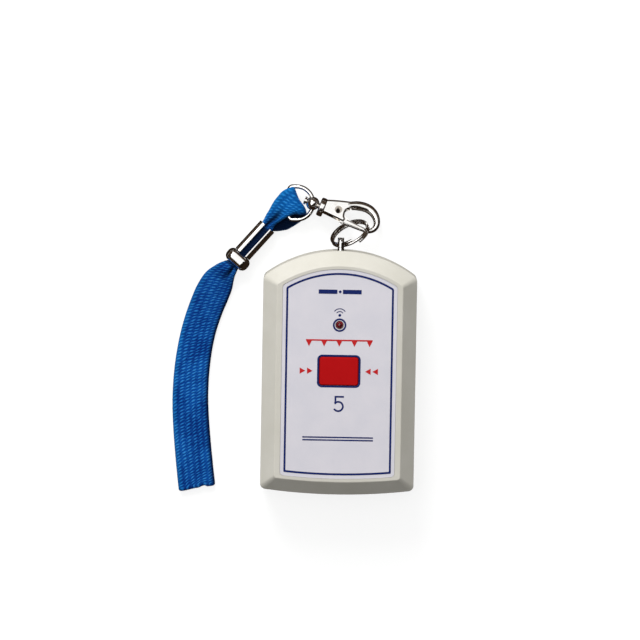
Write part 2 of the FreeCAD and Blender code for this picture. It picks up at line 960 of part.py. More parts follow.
def case_screws():
    """Four screws from the rear face into the front half's posts."""
    screws = []
    for x, y in case_screw_places:
        head_low = case_screw_seat - case_screw_head
        head = rod(case_screw_head_radius, x, y, head_low, case_screw_seat)
        slot = box(
            x - case_screw_head_radius,
            x + case_screw_head_radius,
            y - screw_slot_width / 2,
            y + screw_slot_width / 2,
            head_low,
            head_low + screw_slot_depth,
        )
        shaft = rod(case_screw_radius, x, y, case_screw_seat, parting_height + case_screw_grip - seam_gap)
        screws.append(fuse_all([head.cut(slot), shaft]))
    return Part.makeCompound(screws)


def board_screws():
    """Four screws from under the board into the front half's bosses."""
    screws = []
    for x, y in board_screw_places:
        head_low = board_bottom - board_screw_head
        head = rod(board_screw_head_radius, x, y, head_low, board_bottom)
        slot = box(
            x - board_screw_head_radius,
            x + board_screw_head_radius,
            y - screw_slot_width / 2,
            y + screw_slot_width / 2,
            head_low,
            head_low + screw_slot_depth,
        )
        shaft = rod(board_screw_radius, x, y, board_bottom, board_top + board_screw_grip - seam_gap)
        screws.append(fuse_all([head.cut(slot), shaft]))
    return Part.makeCompound(screws)


def lanyard_lug():
    """A metal strip folded into a loop, with two feet behind the end wall."""
    foot_face = half_length - wall - lug_foot_gap
    foot_back = foot_face - lug_thickness
    tip = half_length + lug_reach
    inner = lug_opening_height / 2
    x0 = -lug_width / 2

    def loop(half, end, corner):
        solid = box(x0, -x0, foot_back, end, parting_height - half, parting_height + half)
        far = [e for e in solid.Edges if e.BoundBox.YMin > end - 1e-6]
        far = [e for e in far if abs(e.BoundBox.XLength - lug_width) < 1e-6]
        return solid.makeFillet(corner, far)

    strip = loop(lug_half, tip, lug_inner_corner + lug_thickness)
    strip = strip.cut(loop(inner, tip - lug_thickness, lug_inner_corner))
    upper = parting_height + lug_half
    lower = parting_height - lug_half
    feet = [
        box(x0, -x0, foot_back, foot_face, upper - lug_thickness, upper + lug_foot),
        box(x0, -x0, foot_back, foot_face, lower - lug_foot, lower + lug_thickness),
    ]
    return fuse_all([strip] + feet)


def turned(solid, origin, yaw, roll, pitch=0.0):
    """A solid carried to its place: roll about x, pitch about y, then yaw about z."""
    spin = FreeCAD.Rotation(Vec(0, 0, 1), yaw)
    spin = spin.multiply(FreeCAD.Rotation(Vec(0, 1, 0), pitch))
    spin = spin.multiply(FreeCAD.Rotation(Vec(1, 0, 0), roll))
    placed = solid.copy()
    placed.Placement = FreeCAD.Placement(origin, spin)
    return placed


def split_ring():
    """Two close turns of wire."""
    helix = Part.makeHelix(ring_pitch, ring_pitch * ring_turns, ring_radius)
    helix.translate(Vec(0, 0, -ring_pitch * ring_turns / 2))
    helix.rotate(Vec(0, 0, 0), Vec(0, 0, 1), ring_end_angle)
    path = Part.Wire(helix.Edges)
    solid = round_sweep(path, ring_wire_radius)
    return turned(solid, ring_centre, ring_yaw, ring_tilt)


def flat_points(pairs):
    """Points of the hook's plan on its under face, in its own frame."""
    return [Vec(u, v, -hook_thickness / 2) for u, v in pairs]


def hook_plate():
    """The hook's body: a tapered plate with rounded edges that ends under the bar's root."""
    start = flat_points([(hook_body_start, hook_body_high)])
    spine = Part.BSplineCurve()
    spine.interpolate(start + flat_points(hook_spine))
    end = Part.BSplineCurve()
    end.interpolate(flat_points(hook_spine[-1:] + hook_shoulder + hook_cheek[:-1]))
    corners = flat_points(hook_cheek[-2:] + [(hook_body_start, hook_body_low)]) + start
    edges = [spine.toShape(), end.toShape()]
    for first, last in zip(corners[:-1], corners[1:]):
        edges.append(Part.LineSegment(first, last).toShape())
    solid = plate(Part.Wire(edges), hook_thickness)
    level = edges_at(solid, -hook_thickness / 2) + edges_at(solid, hook_thickness / 2)
    return solid.makeFillet(hook_round, level)


def hook_bar():
    """The hook's round bar: it leaves the body, goes round the loop and thins towards its nose."""
    line = Part.BSplineCurve()
    line.interpolate([Vec(u, v, 0) for u, v in hook_bar_line])
    rings = []
    for (u, v), radius in zip(hook_bar_line, hook_bar_radii):
        at = line.parameter(Vec(u, v, 0))
        ahead = Vec(*line.tangent(at)[0])
        ring = Part.Circle(Vec(u, v, 0), ahead, radius)
        rings.append(Part.Wire([ring.toShape()]))
    return Part.makeLoft(rings, True, False)


def hook_body():
    """The hook: body and bar, gate slot, collar, stem and the stem's riveted head."""
    solid = fuse_all([hook_plate(), hook_bar()])
    slot = box(
        slot_start_u,
        pivot_u + gate_clear_radius,
        hook_body_low - beyond,
        slot_top_v,
        -slot_half_height,
        slot_half_height,
    )
    solid = solid.cut(slot)
    ahead = Vec(1, 0, 0)
    collar = Part.makeCylinder(collar_radius, collar_end - collar_start, Vec(collar_start, 0, 0), ahead)
    rims = [e for e in collar.Edges if abs(e.BoundBox.XLength) < 1e-6]
    collar = collar.makeFillet(collar_round, rims)
    head_start = -boss_half_length - stem_gap
    stem = Part.makeCylinder(stem_radius, collar_end - head_start, Vec(head_start, 0, 0), ahead)
    head_end = Vec(head_start - stem_head_length, 0, 0)
    head = Part.makeCylinder(stem_head_radius, stem_head_length, head_end, ahead)
    solid = fuse_all([solid, collar, stem, head])
    under = Vec(pivot_u, pivot_v, -hook_thickness)
    return solid.cut(Part.makeCylinder(pin_radius, hook_thickness + beyond, under))


def gate_pin():
    """The rivet that the gate turns on, with a flat head on each side and a pit in its upper end."""
    half = hook_thickness / 2
    shaft = Part.makeCylinder(pin_radius, hook_thickness, Vec(pivot_u, pivot_v, -half))
    upper = Part.makeCylinder(pin_head_radius, pin_head, Vec(pivot_u, pivot_v, half))
    lower = Part.makeCylinder(pin_head_radius, pin_head, Vec(pivot_u, pivot_v, -half - pin_head))
    pit = Part.makeCylinder(pin_pit_radius, beyond, Vec(pivot_u, pivot_v, half + pin_head - pin_pit_depth))
    return fuse_all([shaft, upper, lower]).cut(pit)


def hook_gate():
    """The gate: a hub on the pin, a thin arm in the slot and a thicker bar across the mouth."""
    half = slot_half_height - slot_gap

    def bar(u0, u1, low0, high0, low1, high1, half_height):
        corners = [Vec(u0, low0, 0), Vec(u1, low1, 0), Vec(u1, high1, 0), Vec(u0, high0, 0)]
        corners = [c + Vec(0, 0, -half_height) for c in corners]
        return plate(Part.makePolygon(corners + corners[:1]), 2 * half_height)

    hub = Part.makeCylinder(gate_hub_radius, 2 * half, Vec(pivot_u, pivot_v, -half))
    arm_low = pivot_v - gate_hub_radius
    arm = bar(
        pivot_u, pivot_u + gate_clear_radius, arm_low, pivot_v, gate_low_start, gate_high_start, half
    )
    blade = bar(
        pivot_u,
        gate_tip_u,
        gate_low_start,
        gate_high_start,
        gate_low_end,
        gate_high_end,
        gate_half_thickness,
    )
    room = Part.makeCylinder(gate_clear_radius, 4 * half, Vec(pivot_u, pivot_v, -2 * half))
    blade = blade.cut(room)
    long_edges = [e for e in blade.Edges if e.Length > gate_tip_u - pivot_u - 2 * gate_clear_radius]
    long_edges = [e for e in long_edges if e.BoundBox.ZLength < 1e-6]
    long_edges = [e for e in long_edges if e.BoundBox.XLength > gate_clear_radius]
    blade = blade.makeFillet(gate_round, long_edges)
    web = bar(
        pivot_u + gate_hub_radius,
        gate_tip_u - gate_hub_radius,
        gate_low_start,
        gate_high_start,
        gate_low_end,
        gate_high_end,
        half,
    )
    gate = fuse_all([hub, arm, web, blade])
    bore = Part.makeCylinder(pin_radius + gate_bore_gap, 4 * half, Vec(pivot_u, pivot_v, -2 * half))
    return gate.cut(bore)


def swivel_eye():
    """The D-shaped eye: a bar, a round bow and a bored boss that the stem turns in."""
    top = eye_bow_radius
    first = Vec(eye_bow_centre, top, 0)
    corner = eye_corner
    diagonal = corner * (1 - math.sqrt(0.5))
    side = eye_bar + corner

    def bend(sign):
        on_leg = Vec(side, sign * top, 0)
        middle = Vec(eye_bar + diagonal, sign * (top - diagonal), 0)
        on_bar = Vec(eye_bar, sign * (top - corner), 0)
        return on_leg, middle, on_bar

    upper_leg, upper_middle, upper_bar = bend(1)
    lower_leg, lower_middle, lower_bar = bend(-1)
    pieces = [
        Part.Arc(Vec(eye_bow_centre, -top, 0), Vec(eye_bow_centre + top, 0, 0), first),
        Part.LineSegment(first, upper_leg),
        Part.Arc(upper_leg, upper_middle, upper_bar),
        Part.LineSegment(upper_bar, lower_bar),
        Part.Arc(lower_bar, lower_middle, lower_leg),
        Part.LineSegment(lower_leg, Vec(eye_bow_centre, -top, 0)),
    ]
    path = Part.Wire([p.toShape() for p in pieces])
    bow = round_sweep(path, eye_wire_radius)
    bow = turned(bow, hook_origin, 0, 0, -eye_pitch)
    boss = Part.makeSphere(boss_radius)
    length = 2 * boss_half_length
    boss = boss.common(box(-boss_half_length, boss_half_length, -length, length, -length, length))
    boss = turned(boss, hook_origin, hook_yaw, hook_roll)
    eye = fuse_all([bow, boss])
    reach = boss_half_length + stem_head_length + beyond / 5
    far = Vec(-reach, 0, 0)
    ahead = Vec(1, 0, 0)
    room = Part.makeCylinder(stem_radius + stem_gap, reach + collar_start, far, ahead)
    head_room = Part.makeCylinder(stem_head_radius + 2 * stem_gap, stem_head_length + beyond / 5, far, ahead)
    return eye.cut(turned(room.fuse(head_room), hook_origin, hook_yaw, hook_roll))


def strap_place(index):
    """A point of the strap's route as a flat vector."""
    x, y = strap_route[index]
    return Vec(x, y, 0)


def unit(vector):
    """A vector's direction."""
    return vector * (1 / vector.Length)


mouth = strap_place(1)
clamp_along = unit(strap_place(2) - mouth)
clamp_angle = math.degrees(math.atan2(clamp_along.y, clamp_along.x))
core_width = clamp_width - 2 * clamp_wall - 2 * core_clearance
core_height = clamp_height - 2 * clamp_wall - 2 * core_clearance
bead_start = clamp_length + bead_gap
bead_end = bead_start + bead_along
tail_height = 2 * strap_layer
tail_z = strap_floor_gap + tail_height / 2
loop_outer = loop_gap / 2 + strap_layer


def on_clamp(solid):
    """A solid carried from the clamp's frame, x along the strap from its mouth, to its place."""
    return turned(solid, Vec(mouth.x, mouth.y, strap_axis_height), clamp_angle, 0)


def rounded_tube(length, width, height, corner):
    """A block along x with its four long edges rounded, centred on the axis."""
    solid = box(0, length, -width / 2, width / 2, -height / 2, height / 2)
    return solid.makeFillet(corner, [e for e in solid.Edges if abs(e.BoundBox.XLength - length) < 1e-6])


def strap_clamp():
    """A sheet sleeve with two rounded rails and a slot along its upper side."""
    tube = rounded_tube(clamp_length, clamp_width, clamp_height, clamp_corner)
    bore_width = core_width + 2 * core_clearance
    bore_height = core_height + 2 * core_clearance
    bore = rounded_tube(clamp_length, bore_width, bore_height, clamp_wall)
    slot = box(0, clamp_length, -clamp_slot / 2, clamp_slot / 2, 0, clamp_height)
    return on_clamp(tube.cut(bore).cut(slot))


def clamp_collar():
    """A fat bulging ring that holds the strap together below the clamp."""
    bead = rounded_tube(bead_along, bead_across, bead_height, bead_corner)
    rims = [e for e in bead.Edges if e.BoundBox.XLength < 1e-6]
    bead = bead.makeFillet(bead_round, rims)
    bead.translate(Vec(bead_start, 0, 0))
    hole = rounded_tube(bead_end + beyond, bead_hole_width, bead_hole_height, clamp_wall)
    return on_clamp(bead.cut(hole))


def strap_section(place, along, width, height, z):
    """The strap's cross-section: a flat rectangle across its direction."""
    across = Vec(-along.y, along.x, 0) * (width / 2)
    up = Vec(0, 0, height / 2)
    middle = Vec(place.x, place.y, z)
    corners = [middle - across - up, middle + across - up, middle + across + up, middle - across + up]
    return Part.makePolygon(corners + corners[:1])


def strap_radii():
    """The radius at each inner point: a share of the shorter run over the tangent of half the turn."""
    radii = []
    for i in range(1, len(strap_route) - 1):
        back = strap_place(i) - strap_place(i - 1)
        ahead = strap_place(i + 1) - strap_place(i)
        turn = back.getAngle(ahead)
        radii.append(strap_arc_share * min(back.Length, ahead.Length) / math.tan(turn / 2))
    return radii


def loop_side(radius, length, top, low):
    """The loop seen from the side: a half round at the eye, two level runs, two lines to the clamp."""
    far_top = Vec(loop_outer, -strap_width, loop_height + radius)
    far_low = Vec(loop_outer, -strap_width, loop_height - radius)
    crown = Vec(loop_outer - radius, -strap_width, loop_height)
    corners = [
        far_low,
        Vec(loop_level, -strap_width, loop_height - radius),
        Vec(length, -strap_width, low),
        Vec(length, -strap_width, top),
        Vec(loop_level, -strap_width, loop_height + radius),
        far_top,
    ]
    edges = [Part.Arc(far_top, crown, far_low).toShape()]
    for first, last in zip(corners[:-1], corners[1:]):
        edges.append(Part.LineSegment(first, last).toShape())
    return Part.Face(Part.Wire(edges)).extrude(Vec(0, 2 * strap_width, 0))


def strap_loop():
    """The webbing around the eye: two layers that meet at the clamp, narrowing towards it."""
    fold = strap_place(0)
    along = mouth - fold
    bend = along.getAngle(clamp_along)
    length = along.Length + core_width / 2 * math.tan(bend)
    top = strap_axis_height + core_height / 2
    low = strap_axis_height - core_height / 2
    hollow_end = length - strap_layer
    hollow_half = strap_floor_gap / 2
    solid = loop_side(loop_outer, length, top, low)
    hollow_top = strap_axis_height + hollow_half
    hollow_low = strap_axis_height - hollow_half
    hollow = loop_side(loop_gap / 2, hollow_end, hollow_top, hollow_low)
    half_widths = [(0, loop_fold_width / 2), (loop_middle, loop_middle_width / 2), (length, core_width / 2)]
    corners = [Vec(x, y, 0) for x, y in half_widths]
    corners = corners + [Vec(x, -y, 0) for x, y in reversed(half_widths)]
    plan = Part.Face(Part.makePolygon(corners + corners[:1])).extrude(Vec(0, 0, 2 * loop_height))
    loop = solid.cut(hollow).common(plan)
    loop = turned(loop, fold, math.degrees(math.atan2(along.y, along.x)), 0)
    past_mouth = box(0, strap_width, -strap_width, strap_width, -strap_width, strap_width)
    return loop.cut(on_clamp(past_mouth))


def strap_tail():
    """The doubled webbing: a gathered core in clamp and collar, a flare, and a flat run to its fold."""
    core = on_clamp(rounded_tube(bead_end, core_width, core_height, clamp_wall - core_clearance))
    radii = strap_radii()
    points = [strap_place(i) for i in range(1, len(strap_route))]
    path = rounded_path(points, radii[1:])
    first_arc = path.Edges[1]
    start = mouth + clamp_along * bead_end
    sections = [strap_section(start, clamp_along, core_width, core_height, strap_axis_height)]
    arc_length = first_arc.Length
    for distance, width, height in flare_steps:
        share = distance / arc_length
        at = first_arc.FirstParameter + share * (first_arc.LastParameter - first_arc.FirstParameter)
        z = strap_floor_gap + height / 2 + (1 - width / strap_width) * (strap_axis_height - tail_z)
        sections.append(strap_section(first_arc.valueAt(at), first_arc.tangentAt(at), width, height, z))
    end = first_arc.LastParameter
    end_place = first_arc.valueAt(end)
    end_along = first_arc.tangentAt(end)
    sections.append(strap_section(end_place, end_along, strap_width, tail_height, tail_z))
    flare = Part.makeLoft(sections, True, True)
    flat_path = Part.Wire(path.Edges[2:])
    flat_path.translate(Vec(0, 0, tail_z))
    flat = flat_path.makePipeShell([sections[-1]], True, False)
    last = unit(points[-1] - points[-2])
    across = Vec(-last.y, last.x, 0)
    corner = points[-1] - across * (strap_width / 2) + Vec(0, 0, tail_z)
    fold = Part.makeCylinder(tail_height / 2, strap_width, corner, across)
    print("strap radii", [round(r, 1) for r in radii])
    expected = flat_path.Length * strap_width * tail_height
    print("flat run volume", round(flat.Volume), "section times length", round(expected))
    return fuse_all([core, flare, flat, fold])


def on_hook(solid):
    """A solid carried from the hook's frame to its place."""
    return turned(solid, hook_origin, hook_yaw, hook_roll)


parts = {
    "front_shell": front_shell(),
    "rear_shell": rear_shell(),
    "battery_door": battery_door(),
    "front_label": front_label(),
    "label_print_blue": label_print_blue(),
    "label_print_red": label_print_red(),
    "alarm_button": alarm_button(),
    "case_screws": case_screws(),
    "board_screws": board_screws(),
    "circuit_board": circuit_board(),
    "switch_body": switch_body(),
    "switch_plunger": switch_plunger(),
    "indicator_led": indicator_led(),
    "led_leads": led_leads(),
    "encoder_chip": encoder_chip(),
    "chip_pins": chip_pins(),
    "saw_resonator": saw_resonator(),
    "crystal_can": crystal_can(),
    "capacitor": capacitor(),
    "chip_resistors": chip_resistors(),
    "antenna_loop": antenna_loop(),
    "battery_block": battery_block(),
    "battery_snap": battery_snap(),
    "battery_lead_red": battery_lead(1),
    "battery_lead_black": battery_lead(0),
    "lanyard_lug": lanyard_lug(),
    "split_ring": split_ring(),
    "hook_body": on_hook(hook_body()),
    "hook_gate": on_hook(hook_gate()),
    "gate_pin": on_hook(gate_pin()),
    "swivel_eye": swivel_eye(),
    "strap_clamp": strap_clamp(),
    "clamp_collar": clamp_collar(),
    "strap_loop": strap_loop(),
    "strap_tail": strap_tail(),
}

os.makedirs("parts", exist_ok=True)
for name, shape in parts.items():
    valid = "valid" if shape.isValid() else "NOT VALID"
    print(name, valid, len(shape.Solids), "solids", round(shape.Volume, 1), "mm3")
    shape.exportStep("parts/" + name + ".step")
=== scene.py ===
"""Pendant alarm transmitter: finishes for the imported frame, the wrist strap and a pale studio.

Blender works in metres. Sizes of the object are written in millimetres and turned into metres by MM.
"""
import math

import bpy
import numpy as np
from mathutils import Matrix, Vector


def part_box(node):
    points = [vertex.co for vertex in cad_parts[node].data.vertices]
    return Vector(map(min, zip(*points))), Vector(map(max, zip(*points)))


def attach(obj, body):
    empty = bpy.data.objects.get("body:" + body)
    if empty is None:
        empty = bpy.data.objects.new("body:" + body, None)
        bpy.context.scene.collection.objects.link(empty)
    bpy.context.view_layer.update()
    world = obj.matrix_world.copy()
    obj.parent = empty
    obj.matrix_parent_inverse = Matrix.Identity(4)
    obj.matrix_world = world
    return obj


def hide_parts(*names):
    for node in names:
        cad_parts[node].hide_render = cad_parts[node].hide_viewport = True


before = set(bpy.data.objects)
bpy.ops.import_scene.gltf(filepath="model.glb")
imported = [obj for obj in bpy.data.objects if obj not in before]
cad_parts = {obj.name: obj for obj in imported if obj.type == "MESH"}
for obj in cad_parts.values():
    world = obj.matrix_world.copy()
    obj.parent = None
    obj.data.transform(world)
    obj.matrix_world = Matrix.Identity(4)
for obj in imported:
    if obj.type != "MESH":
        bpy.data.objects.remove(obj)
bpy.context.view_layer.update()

MM = 0.001
WHITE = (1.0, 1.0, 1.0, 1.0)


def linear(red, green, blue):
    """A screen colour of 0 to 255 as the linear colour a shader reads: the inverse of the display curve."""
    def one(level):
        level = level / 255.0
        return level / 12.92 if level <= 0.04045 else ((level + 0.055) / 1.055) ** 2.4
    return (one(red), one(green), one(blue), 1.0)


# Camera

VIEW_TILT = math.radians(3.7)
VIEW_ROLL = math.radians(1.0)
VIEW_TARGET = Vector((-7.8, 19.8, 0.0)) * MM
VIEW_WIDTH = 256.0 * MM
VIEW_DISTANCE = 2.4
VIEW_NEAREST = 0.01
VIEW_FARTHEST = 20.0
SENSOR = 36.0


def make_camera():
    """Camera almost straight above, tilted towards the ring end, with a long lens as wide as the photo."""
    towards = Vector((0.0, math.sin(VIEW_TILT), math.cos(VIEW_TILT)))
    flat_up = Vector((0.0, math.cos(VIEW_TILT), -math.sin(VIEW_TILT)))
    side = Vector((1.0, 0.0, 0.0))
    right = side * math.cos(VIEW_ROLL) + flat_up * math.sin(VIEW_ROLL)
    up = flat_up * math.cos(VIEW_ROLL) - side * math.sin(VIEW_ROLL)
    data = bpy.data.cameras.new("studio_camera")
    data.sensor_width = SENSOR
    data.lens = SENSOR * VIEW_DISTANCE / VIEW_WIDTH
    data.clip_start = VIEW_NEAREST
    data.clip_end = VIEW_FARTHEST
    camera = bpy.data.objects.new("studio_camera", data)
    turn = Matrix((right, up, towards)).transposed().to_4x4()
    camera.matrix_world = Matrix.Translation(VIEW_TARGET + towards * VIEW_DISTANCE) @ turn
    bpy.context.collection.objects.link(camera)
    bpy.context.scene.camera = camera


make_camera()


# Shader helpers

class Nodes:
    """A node tree with short calls for the nodes used here."""

    def __init__(self, tree):
        self.nodes = tree.nodes
        self.links = tree.links

    def plug(self, value, socket):
        """Links a socket, or sets a plain value."""
        if isinstance(value, bpy.types.NodeSocket):
            self.links.new(value, socket)
        elif value is not None:
            socket.default_value = value

    def calc(self, operation, first, second=None):
        """One arithmetic step."""
        node = self.nodes.new("ShaderNodeMath")
        node.operation = operation
        for value, socket in zip((first, second), node.inputs):
            self.plug(value, socket)
        return node.outputs[0]

    def plus(self, first, second):
        """A sum."""
        return self.calc("ADD", first, second)

    def times(self, first, second):
        """A product."""
        return self.calc("MULTIPLY", first, second)

    def span(self, value, low, high, to_low=0.0, to_high=1.0):
        """A value mapped from one range to another, held at the ends."""
        node = self.nodes.new("ShaderNodeMapRange")
        for socket, number in zip(node.inputs, (value, low, high, to_low, to_high)):
            self.plug(number, socket)
        return node.outputs[0]

    def split(self, vector):
        """The x, y and z of a vector."""
        node = self.nodes.new("ShaderNodeSeparateXYZ")
        self.links.new(vector, node.inputs[0])
        return node.outputs

    def past_the_light(self):
        """1 for what the camera sees, for gloss and through glass, and 0 for rays that carry light."""
        path = self.nodes.new("ShaderNodeLightPath").outputs
        seen = self.calc("MAXIMUM", path["Is Camera Ray"], path["Is Glossy Ray"])
        return self.calc("MAXIMUM", seen, path["Is Transmission Ray"])


class Shader(Nodes):
    """A material built on the Principled surface."""

    def __init__(self, name, color, roughness, metallic=0.0, specular=0.5):
        self.mat = bpy.data.materials.new(name)
        self.mat.use_nodes = True
        super().__init__(self.mat.node_tree)
        self.out = self.nodes["Principled BSDF"]
        self.out.inputs["Base Color"].default_value = color
        self.out.inputs["Roughness"].default_value = roughness
        self.out.inputs["Metallic"].default_value = metallic
        self.out.inputs["Specular IOR Level"].default_value = specular
        self.mat.diffuse_color = color

    def place(self, scale=(1, 1, 1), shift=(0, 0, 0)):
        """Object coordinates, scaled and then shifted."""
        coords = self.nodes.new("ShaderNodeTexCoord")
        mapping = self.nodes.new("ShaderNodeMapping")
        mapping.inputs["Scale"].default_value = scale
        mapping.inputs["Location"].default_value = shift
        self.links.new(coords.outputs["Object"], mapping.inputs["Vector"])
        return mapping.outputs["Vector"]

    def noise(self, size, detail=2.0, rough=0.5, vector=None):
        """Noise with features of about that size in millimetres, from 0 to 1."""
        node = self.nodes.new("ShaderNodeTexNoise")
        node.inputs["Scale"].default_value = 1.0 / (size * MM)
        node.inputs["Detail"].default_value = detail
        node.inputs["Roughness"].default_value = rough
        self.plug(vector if vector is not None else self.place(), node.inputs["Vector"])
        return node.outputs["Fac"]

    def mix(self, share, first, second):
        """A colour between two."""
        node = self.nodes.new("ShaderNodeMix")
        node.data_type = "RGBA"
        self.plug(share, node.inputs["Factor"])
        self.plug(first, node.inputs["A"])
        self.plug(second, node.inputs["B"])
        return node.outputs["Result"]

    def bump(self, height, distance, strength=1.0):
        """A surface normal tilted by a height of that many millimetres where it is 1."""
        node = self.nodes.new("ShaderNodeBump")
        node.inputs["Strength"].default_value = strength
        node.inputs["Distance"].default_value = distance * MM
        self.plug(height, node.inputs["Height"])
        return node.outputs["Normal"]

    def to(self, **sockets):
        """Sets several inputs of the surface shader; an underscore stands for a space in a name."""
        for name, value in sockets.items():
            self.plug(value, self.out.inputs[name.replace("_", " ")])


def plastic(name, color, shade, roughness, grain=0.25, depth=0.012, gloss=0.4):
    """Moulded plastic: two close tones in broad soft patches, a fine eroded grain and uneven gloss."""
    s = Shader(name, color, roughness, 0.0, gloss)
    broad = s.noise(14.0, 3.0, 0.6)
    fine = s.noise(grain, 3.0, 0.6)
    tone = s.mix(s.span(broad, 0.35, 0.65), color, shade)
    speck = s.noise(0.9)
    s.to(Base_Color=s.mix(s.span(speck, 0.62, 0.74, 0.0, 0.35), tone, shade))
    s.to(Roughness=s.span(s.noise(5.0, 4.0, 0.6), 0.3, 0.7, roughness - 0.05, roughness + 0.07))
    s.to(Normal=s.bump(fine, depth))
    return s.mat


def foil(name, color, shade):
    """Printed satin foil: a faint mottled tint and a very fine orange peel under a thin coat."""
    s = Shader(name, color, 0.42)
    s.to(Base_Color=s.mix(s.span(s.noise(9.0, 3.0, 0.55), 0.35, 0.65), color, shade))
    s.to(Roughness=s.span(s.noise(2.0, 3.0, 0.5), 0.3, 0.7, 0.38, 0.48))
    s.to(Normal=s.bump(s.noise(0.4), 0.003))
    s.to(Coat_Weight=0.15, Coat_Roughness=0.3)
    return s.mat


def ink(name, color, shade):
    """Screen-printed ink: slightly uneven cover and a low gloss."""
    s = Shader(name, color, 0.5, 0.0, 0.15)
    s.to(Base_Color=s.mix(s.span(s.noise(0.5, 3.0, 0.6), 0.4, 0.75), color, shade))
    s.to(Roughness=s.span(s.noise(0.8), 0.3, 0.7, 0.42, 0.56))
    s.to(Normal=s.bump(s.noise(0.15), 0.002))
    return s.mat


def metal(name, color, dark, roughness, scratch=0.06, stretch=(1, 1, 1)):
    """Plated or plain metal: hairline scratches, soft smears in the gloss and patches of tarnish."""
    s = Shader(name, color, roughness, 1.0)
    lines = s.noise(scratch, 2.0, 0.6, s.place(stretch))
    smear = s.noise(3.0, 4.0, 0.6)
    s.to(Base_Color=s.mix(s.span(smear, 0.5, 0.8, 0.0, 0.3), color, dark))
    smeared = s.span(smear, 0.3, 0.7, roughness * 0.8, roughness * 1.25)
    s.to(Roughness=s.plus(smeared, s.span(lines, 0.5, 0.7, 0.0, 0.04)))
    s.to(Normal=s.bump(lines, 0.002))
    return s.mat


def lamp_resin():
    """Tinted clear resin: dark red, brighter in patches, under a smooth coat."""
    s = Shader("lamp_resin", linear(96, 12, 20), 0.08)
    core = s.span(s.noise(1.2), 0.35, 0.7)
    s.to(Base_Color=s.mix(core, linear(66, 8, 15), linear(134, 20, 28)))
    s.to(Roughness=s.span(s.noise(0.6), 0.3, 0.7, 0.05, 0.12))
    s.to(Coat_Weight=0.6, Coat_Roughness=0.04)
    s.to(Subsurface_Weight=0.15, Subsurface_Scale=0.5 * MM)
    return s.mat


TRACK_PITCH = 2.54 * MM


def board_mask():
    """Solder mask: green with paler copper tracks running along the board and a fine grain.

    A track lies where the place along x, bent by noise, is near the middle between two whole pitches.
    """
    s = Shader("board_green", linear(24, 92, 52), 0.35)
    pitches = s.times(s.split(s.place())[0], 1.0 / TRACK_PITCH)
    bend = s.plus(pitches, s.span(s.noise(11.0, 1.0), 0.3, 0.7, -0.8, 0.8))
    track = s.span(s.calc("PINGPONG", bend, 0.5), 0.30, 0.36)
    s.to(Base_Color=s.mix(track, linear(22, 84, 48), linear(48, 128, 72)))
    s.to(Roughness=s.span(s.noise(1.5), 0.3, 0.7, 0.3, 0.42))
    s.to(Normal=s.bump(s.plus(track, s.times(s.noise(0.3), 0.3)), 0.03))
    return s.mat


COPPER_BAND_START = 8.0 * MM
COPPER_BAND_EDGE = 0.4 * MM


def battery_lacquer():
    """Lacquered can: dark body with one copper-toned end band and fine rolling lines."""
    s = Shader("battery_lacquer", linear(44, 44, 48), 0.3, 0.4)
    along = s.split(s.place())[0]
    band = s.span(along, COPPER_BAND_START, COPPER_BAND_START + COPPER_BAND_EDGE)
    body = s.mix(s.span(s.noise(6.0), 0.4, 0.6), linear(42, 42, 46), linear(52, 52, 56))
    s.to(Base_Color=s.mix(band, body, linear(178, 122, 62)))
    s.to(Roughness=s.span(s.noise(2.0), 0.3, 0.7, 0.24, 0.38))
    s.to(Normal=s.bump(s.noise(0.2, 2.0, 0.5, s.place((1, 0.05, 1))), 0.004))
    return s.mat


PAINTED_PIT_SHADE_RADIUS = 0.8 * MM
PAINTED_PIT_SHADE_EDGE = 0.95 * MM


def rivet_steel():
    """Turned rivet: a bright rim round painted shade in its pit, a dark disc told apart by how far a point is
    from the rivet's axis.
    """
    low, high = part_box("gate_pin")
    centre = [(a + b) / 2.0 for a, b in zip(low, high)]
    s = Shader("rivet_steel", linear(200, 194, 186), 0.2, 1.0)
    x, y, _ = s.split(s.place(shift=(-centre[0], -centre[1], 0.0)))
    away = s.calc("SQRT", s.plus(s.times(x, x), s.times(y, y)))
    past_painted_pit_shade = s.span(away, PAINTED_PIT_SHADE_RADIUS, PAINTED_PIT_SHADE_EDGE)
    turned = s.noise(0.15)
    bright = s.mix(turned, linear(214, 208, 200), linear(160, 148, 134))
    # Painted shade: within the pit's radius the colour is near black and the gloss duller.
    s.to(Base_Color=s.mix(past_painted_pit_shade, linear(26, 20, 17), bright))
    s.to(Roughness=s.span(past_painted_pit_shade, 0.0, 1.0, 0.5, 0.18))
    s.to(Normal=s.bump(turned, 0.004))
    return s.mat


LUG_HALF_WIDTH = 1.36


def lug_steel():
    """Pressed strip with a rounded face under fine drawing lines.

    Its height is the half-round sqrt(1 - u squared), with u the place across the strip, from -1 to 1.
    """
    low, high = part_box("lanyard_lug")
    middle = (low[0] + high[0]) / 2.0
    half = LUG_HALF_WIDTH * MM
    s = Shader("lug_steel", linear(236, 236, 236), 0.16, 1.0)
    u = s.split(s.place((1.0 / half, 1.0, 1.0), (-middle / half, 0.0, 0.0)))[0]
    dome = s.calc("SQRT", s.calc("MAXIMUM", s.calc("SUBTRACT", 1.0, s.times(u, u)), 0.0))
    lines = s.noise(0.08, 2.0, 0.6, s.place((1, 0.1, 1)))
    s.to(Base_Color=s.mix(s.span(lines, 0.4, 0.7), linear(240, 240, 240), linear(206, 204, 200)))
    s.to(Roughness=s.span(lines, 0.3, 0.7, 0.13, 0.22))
    s.to(Normal=s.bump(s.plus(dome, s.times(lines, 0.004)), LUG_HALF_WIDTH, 0.8))
    return s.mat


# Finishes of the CAD nodes

